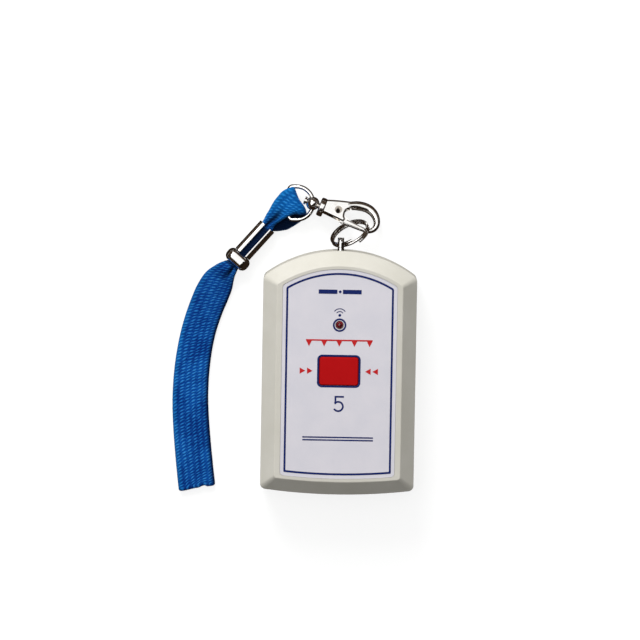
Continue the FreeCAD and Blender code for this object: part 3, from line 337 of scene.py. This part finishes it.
CASE = plastic("case_white", linear(206, 203, 193), linear(201, 198, 187), 0.47)
LABEL = foil("label_satin", linear(214, 211, 218), linear(209, 207, 215))
INK_BLUE = ink("ink_dark_blue", linear(6, 26, 88), linear(12, 35, 102))
INK_RED = ink("ink_red", linear(186, 24, 28), linear(196, 40, 40))
BUTTON = plastic("button_red", linear(180, 12, 16), linear(172, 9, 13), 0.5, 0.35, 0.006, 0.06)
NICKEL = metal("nickel_bright", linear(253, 251, 248), linear(196, 176, 150), 0.1)
STEEL = metal("steel_plain", linear(236, 236, 236), linear(176, 174, 170), 0.16, 0.05, (1, 0.12, 1))
TIN = metal("tinned_metal", linear(200, 200, 200), linear(150, 150, 150), 0.3)
BLACK = plastic("black_plastic", linear(34, 34, 36), linear(26, 26, 28), 0.5, 0.2, 0.008)
WIRE_RED = plastic("wire_red", linear(170, 20, 18), linear(150, 16, 14), 0.4, 0.3, 0.006)
WIRE_BLACK = plastic("wire_black", linear(30, 30, 30), linear(22, 22, 22), 0.4, 0.3, 0.006)
SLEEVE = plastic("capacitor_sleeve", linear(32, 38, 70), linear(26, 30, 58), 0.3, 0.3, 0.004)
CERAMIC = plastic("resistor_body", linear(44, 38, 34), linear(34, 30, 28), 0.5, 0.1, 0.008)

NODE_FINISH = {
    "front_shell": CASE,
    "rear_shell": CASE,
    "battery_door": CASE,
    "front_label": LABEL,
    "label_print_blue": INK_BLUE,
    "label_print_red": INK_RED,
    "alarm_button": BUTTON,
    "indicator_led": lamp_resin(),
    "case_screws": STEEL,
    "board_screws": STEEL,
    "lanyard_lug": lug_steel(),
    "gate_pin": rivet_steel(),
    "split_ring": NICKEL,
    "hook_body": NICKEL,
    "hook_gate": NICKEL,
    "swivel_eye": NICKEL,
    "strap_clamp": NICKEL,
    "clamp_collar": NICKEL,
    "circuit_board": board_mask(),
    "switch_body": BLACK,
    "switch_plunger": BLACK,
    "encoder_chip": BLACK,
    "battery_snap": BLACK,
    "led_leads": TIN,
    "chip_pins": TIN,
    "saw_resonator": TIN,
    "crystal_can": TIN,
    "antenna_loop": TIN,
    "capacitor": SLEEVE,
    "chip_resistors": CERAMIC,
    "battery_block": battery_lacquer(),
    "battery_lead_red": WIRE_RED,
    "battery_lead_black": WIRE_BLACK,
}

for node_name, finish in NODE_FINISH.items():
    node_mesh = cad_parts[node_name].data
    node_mesh.materials.clear()
    node_mesh.materials.append(finish)


# Wrist strap. Its sizes are in millimetres, and a distance is measured along its route from the eye.

# The route's points are those of the part's source, as (x, y) and height.
STRAP_ROUTE = [
    (-16.5, 67.35), (-29.45, 57.0), (-48.0, 35.9), (-55.8, 18.2),
    (-59.1, -1.9), (-59.1, -23.1), (-56.0, -47.9),
]
STRAP_HEIGHT = [3.75, 3.3, 1.27, 1.27, 1.27, 1.27, 1.27]
STRAP_WIDTH = 15.0
ROUTE_STEPS = 48
READING_STEP = 0.2

# The webbing turns round the eye at FOLD_CENTRE, with FOLD_RADIUS from its middle to each layer. It is held
# from MOUTH to CLAMP_END in the clamp, and from there to COLLAR_END in the collar.
FOLD_CENTRE = 2.45
FOLD_RADIUS = 1.95
MOUTH = 16.6
CLAMP_END = 31.4
COLLAR_END = 37.0
FLOOR_CLEARANCE = 0.1

# Rows follow each other along the strap and columns across it.
ROW_STEP = 0.34
FOLD_ROWS = 12
OUTER_COLUMNS = 42
INNER_COLUMNS = 20

# Profiles: what a value is at distances along the strap. Between two distances it changes smoothly.
# Reach of each edge of the outer and inner layer in the loop, while held, and at distances past the collar.
LEFT_OUTER = {FOLD_CENTRE: 7.2, 4.2: 7.6, 6.5: 7.1, 9.0: 6.3, 12.6: 4.7, 15.4: 3.1}
LEFT_INNER = {FOLD_CENTRE: 6.2, 4.2: 6.3, 6.5: 6.1, 9.0: 5.6, 12.6: 4.2, 15.4: 2.9}
RIGHT_OUTER = {FOLD_CENTRE: 4.5, 4.2: 3.2, 6.5: 2.3, 9.0: 1.7, 12.6: 1.4, 15.4: 2.3}
RIGHT_INNER = {FOLD_CENTRE: 6.3, 4.2: 6.5, 6.5: 6.4, 9.0: 6.1, 12.6: 5.2, 15.4: 3.9}
HELD_REACH = {MOUTH: 2.75, CLAMP_END: 2.75, COLLAR_END: 2.75}
LEFT_TAIL = {1.2: 3.5, 4.0: 5.3, 8.0: 6.9, 13.0: 7.3, 20.0: 7.1, 30.0: 7.0, 45.0: 7.1, 65.0: 7.2}
RIGHT_TAIL = {1.2: 3.1, 4.0: 3.7, 8.0: 5.0, 13.0: 5.9, 20.0: 6.2, 30.0: 6.3, 45.0: 6.5, 65.0: 6.8}
LEFT_FAR_END = 7.3
RIGHT_FAR_END = 7.0
LEFT_PULL_AT_FOLD = 0.75
RIGHT_SWELL_AT_FOLD = 0.2
UNDER_LAYER_SHIFT = {COLLAR_END + 3.0: 0.0, COLLAR_END + 10.0: 0.45}

# Height of the middle level, from there to each layer's middle, and thickness of a layer.
LEVEL = {0.0: 3.85, MOUTH: 3.3, COLLAR_END: 3.3, COLLAR_END + 1.0: 3.2, COLLAR_END + 9.0: 1.27}
APART = {FOLD_CENTRE: FOLD_RADIUS, 8.0: 1.85, MOUTH: 0.7, COLLAR_END: 0.7, COLLAR_END + 5.0: 0.62}
FAR_END_APART = 0.6
THICK = {0.0: 1.1, MOUTH: 1.2, COLLAR_END: 1.2, COLLAR_END + 6.0: 1.15}
CROWN = 0.16

# Gathers: their strength, and where across the strap, from -1 to 1, their valley lies, with a lobe each side.
GATHERED = {
    6.0: 0.0, 12.0: 0.8, MOUTH: 0.9, MOUTH + 1.5: 0.12,
    COLLAR_END: 0.12, COLLAR_END + 1.5: 1.0, COLLAR_END + 9.0: 0.0,
}
VALLEY_AT_LOOP = -0.22
VALLEY_AT_TAIL = {COLLAR_END: 0.30, COLLAR_END + 9.0: 0.12}
VALLEY_DEPTH = 0.95
LOBE_HEIGHT = 0.45

# Depth to which the right edge rolls down and the place across where that starts, how far the two corners at
# the eye are pulled along the strap, and the ragged slant of the far end over the last FAR_END_LENGTH.
ROLL_DEPTH = {FOLD_CENTRE: 0.5, 5.0: 1.6, 13.0: 1.5, MOUTH: 0.0}
ROLL_START = 0.35
CORNER_PULL = {FOLD_CENTRE: 1.0, 8.0: 0.0}
RIGHT_CORNER = 0.8
LEFT_CORNER = 1.9
FAR_END_SLANT = {-1.0: 0.0, 0.0: -0.8, 0.42: -1.5, 0.6: -0.9, 1.0: -0.8}
FAR_END_LENGTH = 9.0

# How straight the webbing is held, and how strong the painted shade is in the clamp and collar, on the
# layers' inner faces, in the creases and on the rolled edge.
HELD_STRAIGHT = {11.0: 0.0, MOUTH: 1.0, COLLAR_END: 1.0, 42.0: 0.0}
CLAMP_PAINTED_SHADE = {MOUTH - 1.0: 0.0, MOUTH + 1.5: 0.95, CLAMP_END: 0.95, COLLAR_END: 0.8, COLLAR_END + 2.0: 0.0}
LAYER_PAINTED_SHADE = 0.96
CREASE_PAINTED_SHADE = 0.93

# Webbing's pattern: width of a column of strokes and step from stroke to stroke, the widths of the painted
# light on the left edge and the painted shade on the right edge, where the painted light on the loop fades,
# and where the painted shade on the stretch below the collar starts and fades.
COLUMN_WIDTH = 2.5
STROKE_STEP = 1.27
PAINTED_LIGHT_EDGE_WIDTH = 2.2
PAINTED_SHADE_EDGE_WIDTH = 1.8
PAINTED_LIGHT_LOOP_FADES = (10.0, 17.0)
PAINTED_SHADE_STRETCH_STARTS = (COLLAR_END, COLLAR_END + 4.0)
PAINTED_SHADE_STRETCH_FADES = (50.0, 70.0)


def route_line():
    """Points along the route's NURBS spline, from its evaluated curve with no bevel."""
    curve = bpy.data.curves.new("route_line", "CURVE")
    curve.dimensions = "3D"
    curve.resolution_u = ROUTE_STEPS
    spline = curve.splines.new("NURBS")
    spline.points.add(len(STRAP_ROUTE) - 1)
    for point, (x, y), z in zip(spline.points, STRAP_ROUTE, STRAP_HEIGHT):
        point.co = (x, y, z, 1.0)
    spline.order_u = 3
    spline.use_endpoint_u = True
    holder = bpy.data.objects.new("route_line", curve)
    bpy.context.collection.objects.link(holder)
    bpy.context.view_layer.update()
    mesh = bpy.data.meshes.new_from_object(holder)
    line = np.empty(len(mesh.vertices) * 3)
    mesh.vertices.foreach_get("co", line)
    bpy.data.objects.remove(holder)
    bpy.data.meshes.remove(mesh)
    return line.reshape(-1, 3)


def between_knots(where, profile):
    """A profile's knots and values, and for each place the knot before it, the step on and its share."""
    knots = np.array(list(profile))
    values = np.array(list(profile.values()))
    held = np.clip(where, knots[0], knots[-1])
    before = np.clip(np.searchsorted(knots, held, side="right") - 1, 0, len(knots) - 2)
    step = knots[before + 1] - knots[before]
    return knots, values, before, step, (held - knots[before]) / step


def eased(where, profile):
    """A profile that eases out of one knot and into the next, by 3 share squared less 2 share cubed."""
    _, values, k, _, share = between_knots(where, profile)
    share = share * share * (3.0 - 2.0 * share)
    return values[k] * (1.0 - share) + values[k + 1] * share


def through(where, profile):
    """A profile with a continuous slope: cubic pieces that meet each knot at its mean slope."""
    knots, values, k, step, share = between_knots(where, profile)
    slope = np.gradient(values, knots)
    rest = 1.0 - share
    ends = (values[k] * rest * rest * (1.0 + 2.0 * share)
            + values[k + 1] * share * share * (3.0 - 2.0 * share))
    return ends + step * (slope[k] * share * rest * rest - slope[k + 1] * share * share * rest)


def bell(place, centre, width):
    """A Gaussian bell of height 1."""
    return np.exp(-(((place - centre) / width) ** 2))


def ramp(place, start, end):
    """0 up to the start, 1 from the end on, and straight between."""
    return np.clip((place - start) / (end - start), 0.0, 1.0)


def strap_rows(total):
    """The strap's closed circuit: each row's distance along the route and the turn of its face.

    It goes up the outer layer to the eye, round it, back along the layer below and round the far end. The
    turn grows from 0 to a full turn, and only in the two folds.
    """
    run = np.linspace(FOLD_CENTRE, total, int((total - FOLD_CENTRE) / ROW_STEP))
    bend = np.linspace(0.0, math.pi, FOLD_ROWS + 2)[1:-1]
    at_eye = np.full(FOLD_ROWS, FOLD_CENTRE)
    at_far_end = np.full(FOLD_ROWS, total)
    distance = np.concatenate([run[::-1], at_eye, run, at_far_end])
    turn = np.concatenate([np.zeros(len(run)), bend, np.full(len(run), math.pi), math.pi + bend])
    return distance, turn


def strap_frame(line, along, distance):
    """Place and direction on the route at a distance; straight where clamp and collar hold the webbing."""
    def on_route(where):
        return np.stack([np.interp(where, along, line[:, k]) for k in (0, 1)], -1)

    def unit(vectors):
        return vectors / np.linalg.norm(vectors, axis=1)[:, None]

    place = on_route(distance)
    ahead = unit(on_route(distance + READING_STEP) - on_route(distance - READING_STEP))
    first = np.array(STRAP_ROUTE[1])
    second = np.array(STRAP_ROUTE[2])
    axis = (second - first) / np.linalg.norm(second - first)
    held = eased(distance, HELD_STRAIGHT)[:, None]
    straight = first + ((place - first) @ axis)[:, None] * axis
    place = place + held * (straight - place)
    ahead = unit(ahead + held * (axis - ahead))
    return place, ahead


def strap_columns():
    """Round one row: the place across it, the side it is on and the rounding of its edges.

    The place t goes from -1 to 1 over the outer side and back over the inner side. The rounding is
    sqrt(1 - |t| to the sixth), above the middle on the outer side and below it on the inner side.
    """
    outer = np.linspace(-1.0, 1.0, OUTER_COLUMNS)
    inner = np.linspace(1.0, -1.0, INNER_COLUMNS + 2)[1:-1]
    t = np.concatenate([outer, inner])
    side = np.concatenate([np.ones(OUTER_COLUMNS), -np.ones(INNER_COLUMNS)])
    edge = np.sqrt(np.clip(1.0 - np.abs(t) ** 6, 0.0, 1.0)) * side
    return t[None, :], side[None, :], edge[None, :]


def strap_reach(t, distance, lower, round_eye, total):
    """How far each point lies from the route's line.

    It is the place across times the left or right reach, which goes from the outer layer's to the inner
    layer's. The left edge is pulled in round the eye, and the layer below shows a little on the right.
    """
    def edge(loop, tail, far_end):
        past_collar = {COLLAR_END + past: reach for past, reach in tail.items()}
        return through(distance, loop | HELD_REACH | past_collar | {total: far_end})

    left_outer = edge(LEFT_OUTER, LEFT_TAIL, LEFT_FAR_END)
    left_inner = edge(LEFT_INNER, LEFT_TAIL, LEFT_FAR_END)
    right_outer = edge(RIGHT_OUTER, RIGHT_TAIL, RIGHT_FAR_END)
    right_inner = edge(RIGHT_INNER, RIGHT_TAIL, RIGHT_FAR_END)
    left = left_outer + (left_inner - left_outer) * lower - LEFT_PULL_AT_FOLD * round_eye
    right = right_outer + (right_inner - right_outer) * lower + RIGHT_SWELL_AT_FOLD * round_eye
    under_shift = eased(distance, UNDER_LAYER_SHIFT) * lower
    return np.where(t < 0, left[:, None], right[:, None]) * t + under_shift[:, None]


def strap_gathers(t, distance):
    """The gathers' strength along the strap, and across it a valley and two lobes beside it, all bells."""
    strength = eased(distance, GATHERED)[:, None]
    before_clamp = (distance < (MOUTH + COLLAR_END) / 2)[:, None]
    valley_at = np.where(before_clamp, VALLEY_AT_LOOP, eased(distance, VALLEY_AT_TAIL)[:, None])
    valley = bell(t, valley_at, 0.2)
    lobes = bell(t, valley_at - 0.5, 0.3) + bell(t, valley_at + 0.45, 0.25)
    return strength, valley, lobes


def strap_surface():
    """Points, cloth places and painted shade of the strap's surface, a grid closed both ways, and its line.

    A row is a flat closed ring: a crowned outer side and a flatter inner side. A point's rise is how far
    its layer lies from the middle level, plus gathers, crown and half the thickness of the webbing, less
    the roll of the right edge. In a fold that rise turns with the row's face, by its sine and cosine.
    """
    line = route_line()
    gaps = np.linalg.norm(np.diff(line[:, :2], axis=0), axis=1)
    along = np.concatenate([[0.0], np.cumsum(gaps)])
    total = along[-1]
    distance, turn = strap_rows(total)
    place, ahead = strap_frame(line, along, distance)
    across = np.stack([-ahead[:, 1], ahead[:, 0]], -1)
    lower = (1.0 - np.cos(turn)) / 2.0
    upper = (1.0 - lower)[:, None]
    round_eye = np.where(turn < math.pi, np.sin(turn), 0.0)
    t, side, edge = strap_columns()
    reach = strap_reach(t, distance, lower, round_eye, total)

    apart = eased(distance, APART | {total: FAR_END_APART})[:, None]
    strength, valley, lobes = strap_gathers(t, distance)
    gathers = strength * (LOBE_HEIGHT * lobes - VALLEY_DEPTH * valley) * (0.45 + 0.55 * upper)
    roll_depth = eased(distance, ROLL_DEPTH)[:, None] * upper
    roll = roll_depth * ramp(t, ROLL_START, 1.0) ** 2 * (distance < MOUTH)[:, None]
    crown = CROWN * (1.0 - t ** 2) * upper
    out = apart + gathers - roll + crown + edge * eased(distance, THICK)[:, None] / 2.0

    slant = eased(t, FAR_END_SLANT) * ramp(distance, total - FAR_END_LENGTH, total)[:, None] ** 2
    corners = RIGHT_CORNER * np.clip(t, 0.0, 1.0) ** 3 - LEFT_CORNER * np.clip(-t, 0.0, 1.0) ** 1.5
    corners = corners * eased(distance, CORNER_PULL)[:, None]
    forward = slant + corners - np.sin(turn)[:, None] * out
    sideways = across[:, None, :] * reach[:, :, None]
    flat = place[:, None, :] + sideways + ahead[:, None, :] * forward[:, :, None]
    height = np.maximum(eased(distance, LEVEL)[:, None] + np.cos(turn)[:, None] * out, FLOOR_CLEARANCE)
    points = np.concatenate([flat, height[:, :, None]], -1)

    every_point = np.zeros_like(reach)
    walk = (distance - FOLD_RADIUS * round_eye)[:, None] + every_point
    cloth = (t + 1.0) / 2.0 * STRAP_WIDTH + every_point
    # Painted shade, kept in the depth attribute: darker in the clamp and collar, on the inner faces between
    # the layers, in the creases and on the rolled right edge.
    painted_shade_in_clamp = eased(distance, CLAMP_PAINTED_SHADE)[:, None] + every_point
    painted_shade_between_layers = np.where(side < 0, LAYER_PAINTED_SHADE, 0.0) + every_point
    painted_shade_in_creases = np.clip(strength * valley * 1.2, 0.0, 1.0) * CREASE_PAINTED_SHADE * upper
    painted_shade_on_roll = ramp(t, 0.55, 1.0) * np.clip(roll_depth, 0.0, 1.0) * CREASE_PAINTED_SHADE
    shade = np.clip(np.maximum.reduce([painted_shade_in_clamp, painted_shade_between_layers, painted_shade_in_creases, painted_shade_on_roll]), 0.0, 1.0)
    return points, np.stack([walk, cloth], -1), shade, line


def webbing():
    """Woven webbing on the piece's own UV in millimetres: slanted strokes in columns on a dark ground.

    A stroke's height is a power of the sine of its place along the strap, moved on by its place in the
    column, times the sine across the column. Smaller strokes with the other slant link the columns. Painted
    light makes the left edge and the loop paler, and painted shade makes the right edge and the stretch below
    the collar darker.
    """
    s = Shader("webbing_blue", linear(8, 62, 140), 0.8, 0.0, 0.08)

    def arch(turns):
        """Half a sine wave over each whole number: 0 at its ends and 1 in the middle."""
        return s.calc("SINE", s.times(s.calc("FRACT", turns), math.pi))

    uv = s.nodes.new("ShaderNodeUVMap")
    uv.uv_map = "cloth"
    along, across, _ = s.split(uv.outputs["UV"])
    drift = s.span(s.noise(5.0), 0.3, 0.7, -0.1, 0.1)
    column = s.plus(s.times(across, 1.0 / COLUMN_WIDTH), drift)
    in_column = s.calc("FRACT", column)
    odd = s.times(s.calc("FRACT", s.times(s.calc("FLOOR", column), 0.5)), 2.0)
    wobble = s.times(s.noise(2.0), 0.9)
    slanted = s.plus(s.times(along, 1.0 / STROKE_STEP), in_column)
    phase = s.plus(slanted, s.plus(wobble, s.times(odd, 0.35)))
    stroke = s.times(s.calc("POWER", arch(phase), 2.2), arch(column))
    back_slant = s.calc("SUBTRACT", phase, s.times(in_column, 2.2))
    link = s.calc("POWER", arch(back_slant), 2.2)
    column_edge = s.calc("ABSOLUTE", s.calc("COSINE", s.times(in_column, math.pi)))
    between = s.calc("POWER", column_edge, 3.0)
    height = s.calc("MAXIMUM", stroke, s.times(s.times(link, between), 0.5))
    thread = s.noise(0.3, 3.0, 0.65)
    lit = s.span(s.plus(height, s.times(thread, 0.6)), 0.55, 1.45)
    broad = s.span(s.noise(6.0, 3.0, 0.6), 0.35, 0.65)
    ground = s.mix(broad, linear(0, 38, 112), linear(0, 68, 150))
    pale = s.mix(broad, linear(26, 122, 204), linear(60, 154, 226))
    cloth = s.mix(lit, ground, pale)
    # Painted light: the left edge and the loop are mixed towards paler blues.
    painted_light_left_edge = s.times(s.span(across, 0.0, PAINTED_LIGHT_EDGE_WIDTH, 1.0, 0.0), 0.5)
    cloth = s.mix(painted_light_left_edge, cloth, linear(16, 112, 172))
    loop = s.span(along, *PAINTED_LIGHT_LOOP_FADES, 0.2, 0.0)
    cloth = s.mix(loop, cloth, linear(10, 136, 208))
    # Painted shade: the stretch below the collar and the right edge are mixed towards darker navy.
    painted_shade_below_collar = s.times(s.span(along, *PAINTED_SHADE_STRETCH_STARTS), s.span(along, *PAINTED_SHADE_STRETCH_FADES, 0.3, 0.0))
    cloth = s.mix(painted_shade_below_collar, cloth, linear(0, 34, 96))
    painted_shade_right_edge = s.times(s.span(across, STRAP_WIDTH - PAINTED_SHADE_EDGE_WIDTH, STRAP_WIDTH), 0.75)
    cloth = s.mix(painted_shade_right_edge, cloth, linear(0, 24, 72))
    # The depth attribute is painted shade: it mixes the cloth towards near-black navy.
    depth = s.nodes.new("ShaderNodeAttribute")
    depth.attribute_name = "depth"
    s.to(Base_Color=s.mix(depth.outputs["Fac"], cloth, linear(0, 10, 34)))
    s.to(Roughness=s.span(height, 0.0, 1.0, 0.92, 0.72))
    s.to(Normal=s.bump(s.plus(height, s.times(thread, 0.3)), 0.14))
    return s.mat


def wrist_strap():
    """The doubled strap as one surface closed both ways, hung on the eye's body in place of the CAD strap
    pieces.
    """
    points, uv, shade, line = strap_surface()
    rows, columns = points.shape[:2]
    row, column = np.meshgrid(np.arange(rows), np.arange(columns), indexing="ij")
    next_row = (row + 1) % rows * columns
    next_column = (column + 1) % columns
    row = row * columns
    corners = [row + column, row + next_column, next_row + next_column, next_row + column]
    faces = np.stack(corners, -1).reshape(-1, 4)

    mesh = bpy.data.meshes.new("wrist_strap")
    mesh.from_pydata((points.reshape(-1, 3) * MM).tolist(), [], faces.tolist())
    layer = mesh.uv_layers.new(name="cloth")
    order = np.empty(len(mesh.loops), np.int32)
    mesh.loops.foreach_get("vertex_index", order)
    layer.data.foreach_set("uv", uv.reshape(-1, 2)[order].astype(np.float32).ravel())
    # The depth attribute holds the painted shade for the webbing.
    depth = mesh.attributes.new("depth", "FLOAT", "POINT")
    depth.data.foreach_set("value", shade.astype(np.float32).ravel())
    mesh.polygons.foreach_set("use_smooth", np.full(len(mesh.polygons), True))
    mesh.materials.append(webbing())
    mesh.update()
    strap = bpy.data.objects.new("wrist_strap", mesh)
    bpy.context.collection.objects.link(strap)

    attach(strap, "eye")
    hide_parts("strap_loop", "strap_tail")


wrist_strap()


# Studio. Its sizes are in metres.

FLOOR_HALF = 3.0
FLOOR_LEVEL = -0.0002
FLOOR_GLOW = 0.34
FLOOR_CLEARNESS = 0.72
LIGHT_COMES_FROM = (-0.22, 0.95, 0.15)
LIGHT_LEAST = 0.04
LIGHT_MOST = 0.82

# Dark cards: their colours, the radius of the walls, and for each wall its first and last turn round the
# object and the elevation of its top, in degrees.
CARD_BLACK = (0.012, 0.007, 0.004, 1.0)
CARD_BROWN = (0.02, 0.012, 0.007, 1.0)
CARD_WARM = (0.03, 0.018, 0.01, 1.0)
CARD_PALER = (0.05, 0.032, 0.018, 1.0)
WALL_RADIUS = 0.6
WALL_POINTS = 25
CARD_WALLS = {
    "card_right": (-128, 30, 80, CARD_BLACK),
    "card_left": (150, 232, 56, CARD_WARM),
    "card_top": (30, 150, 42, CARD_PALER),
}
FLOOR_CARD_HALF = 0.25
FLOOR_CARD_LEVEL = -0.0001

# The low card at the case keeps CASE_GAP from it, and follows its arched end with an arc of that rise.
CASE_GAP = 1.2 * MM
CASE_ARC_RISE = 12.8 * MM
CASE_CARD_TOP = 19.0 * MM
CASE_CARD_END = -20.0 * MM
CASE_ARC_POINTS = 24


def studio_floor():
    """A wide pale sheet just under the object, clear enough to show what swings below it."""
    mesh = bpy.data.meshes.new("studio_floor")
    signs = ((-1, -1), (1, -1), (1, 1), (-1, 1))
    corners = [(x * FLOOR_HALF, y * FLOOR_HALF, FLOOR_LEVEL) for x, y in signs]
    mesh.from_pydata(corners, [], [(0, 1, 2, 3)])
    floor = bpy.data.objects.new("studio_floor", mesh)
    bpy.context.collection.objects.link(floor)
    s = Shader("floor_pale", linear(246, 246, 246), 0.9, 0.0, 0.1)
    s.to(Emission_Color=WHITE, Emission_Strength=s.times(s.past_the_light(), FLOOR_GLOW))
    clear = s.nodes.new("ShaderNodeBsdfTransparent")
    sheet = s.nodes.new("ShaderNodeMixShader")
    sheet.inputs[0].default_value = FLOOR_CLEARNESS
    s.links.new(s.out.outputs[0], sheet.inputs[1])
    s.links.new(clear.outputs[0], sheet.inputs[2])
    s.links.new(sheet.outputs[0], s.nodes["Material Output"].inputs["Surface"])
    mesh.materials.append(s.mat)


def world_light():
    """White to the camera, gloss and glass, and a grey light on the object, stronger from one side."""
    world = bpy.data.worlds.new("studio_world")
    bpy.context.scene.world = world
    world.use_nodes = True
    w = Nodes(world.node_tree)
    background = w.nodes["Background"]
    where = w.nodes.new("ShaderNodeTexCoord")
    lean = w.nodes.new("ShaderNodeVectorMath")
    lean.operation = "DOT_PRODUCT"
    lean.inputs[1].default_value = LIGHT_COMES_FROM
    w.links.new(where.outputs["Generated"], lean.inputs[0])
    soft = w.span(lean.outputs["Value"], -1.0, 1.0, LIGHT_LEAST, LIGHT_MOST)
    w.links.new(w.span(w.past_the_light(), 0.0, 1.0, soft, 1.0), background.inputs["Strength"])
    background.inputs["Color"].default_value = WHITE


def area_light(name, place, size, power):
    """A square lamp that looks at the frame's origin, under the middle of the case."""
    data = bpy.data.lights.new(name, "AREA")
    data.shape = "SQUARE"
    data.size = size
    data.energy = power
    lamp = bpy.data.objects.new(name, data)
    bpy.context.collection.objects.link(lamp)
    turn = (-Vector(place)).to_track_quat("-Z", "Y").to_matrix().to_4x4()
    lamp.matrix_world = Matrix.Translation(place) @ turn


def dark_card(name, low_edge, high_edge, color):
    """A dark card that only shows in gloss, as for polished metal in a studio: a strip of quads."""
    count = len(low_edge)
    k = np.arange(count - 1)
    faces = np.stack([k, k + 1, k + 1 + count, k + count], -1)
    mesh = bpy.data.meshes.new(name)
    mesh.from_pydata(np.concatenate([low_edge, high_edge]).tolist(), [], faces.tolist())
    card = bpy.data.objects.new(name, mesh)
    bpy.context.collection.objects.link(card)
    s = Shader(name, (0.0, 0.0, 0.0, 1.0), 1.0, 0.0, 0.0)
    s.to(Emission_Color=color, Emission_Strength=1.0)
    mesh.materials.append(s.mat)
    card.visible_camera = False
    card.visible_diffuse = False
    card.visible_transmission = False
    card.visible_shadow = False


def standing_card(name, line, height, color):
    """A card that stands on the floor along a line of (x, y) points."""
    low_edge = np.column_stack([line, np.zeros(len(line))])
    high_edge = np.column_stack([line, np.full(len(line), height)])
    dark_card(name, low_edge, high_edge, color)


def card_at_case():
    """A low card along the case's left side and its arched end: a line, and an arc through both corners.

    The arc's radius is (half the chord squared + the rise squared) / twice the rise.
    """
    _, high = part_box("front_shell")
    half = high[0] + CASE_GAP
    radius = (half * half + CASE_ARC_RISE * CASE_ARC_RISE) / (2.0 * CASE_ARC_RISE)
    turn = np.linspace(-1.0, 1.0, CASE_ARC_POINTS) * math.asin(half / radius)
    arc = np.stack([radius * np.sin(turn), high[1] + CASE_GAP - radius + radius * np.cos(turn)], -1)
    line = np.concatenate([[[-half, CASE_CARD_END]], arc])
    standing_card("card_case", line, CASE_CARD_TOP, CARD_BROWN)


def card_wall(name, first, last, elevation, color):
    """A curved wall of card round the object: an arc of a cylinder between two turns."""
    turn = np.radians(np.linspace(first, last, WALL_POINTS))
    line = np.stack([WALL_RADIUS * np.cos(turn), WALL_RADIUS * np.sin(turn)], -1)
    standing_card(name, line, WALL_RADIUS * math.tan(math.radians(elevation)), color)


def card_on_floor():
    """A square card under the object."""
    low_edge = FLOOR_CARD_HALF * np.array([[-1.0, -1.0, 0.0], [1.0, -1.0, 0.0]])
    high_edge = FLOOR_CARD_HALF * np.array([[-1.0, 1.0, 0.0], [1.0, 1.0, 0.0]])
    level = np.array([0.0, 0.0, FLOOR_CARD_LEVEL])
    dark_card("card_floor", low_edge + level, high_edge + level, CARD_BROWN)


studio_floor()
world_light()
card_at_case()
for wall_name, wall in CARD_WALLS.items():
    card_wall(wall_name, *wall)
card_on_floor()
area_light("key_lamp", (-0.4, 1.3, 0.9), 0.7, 20.0)
area_light("top_lamp", (-0.5, 0.2, 1.6), 0.9, 3.5)

bpy.context.scene.view_settings.view_transform = "Standard"
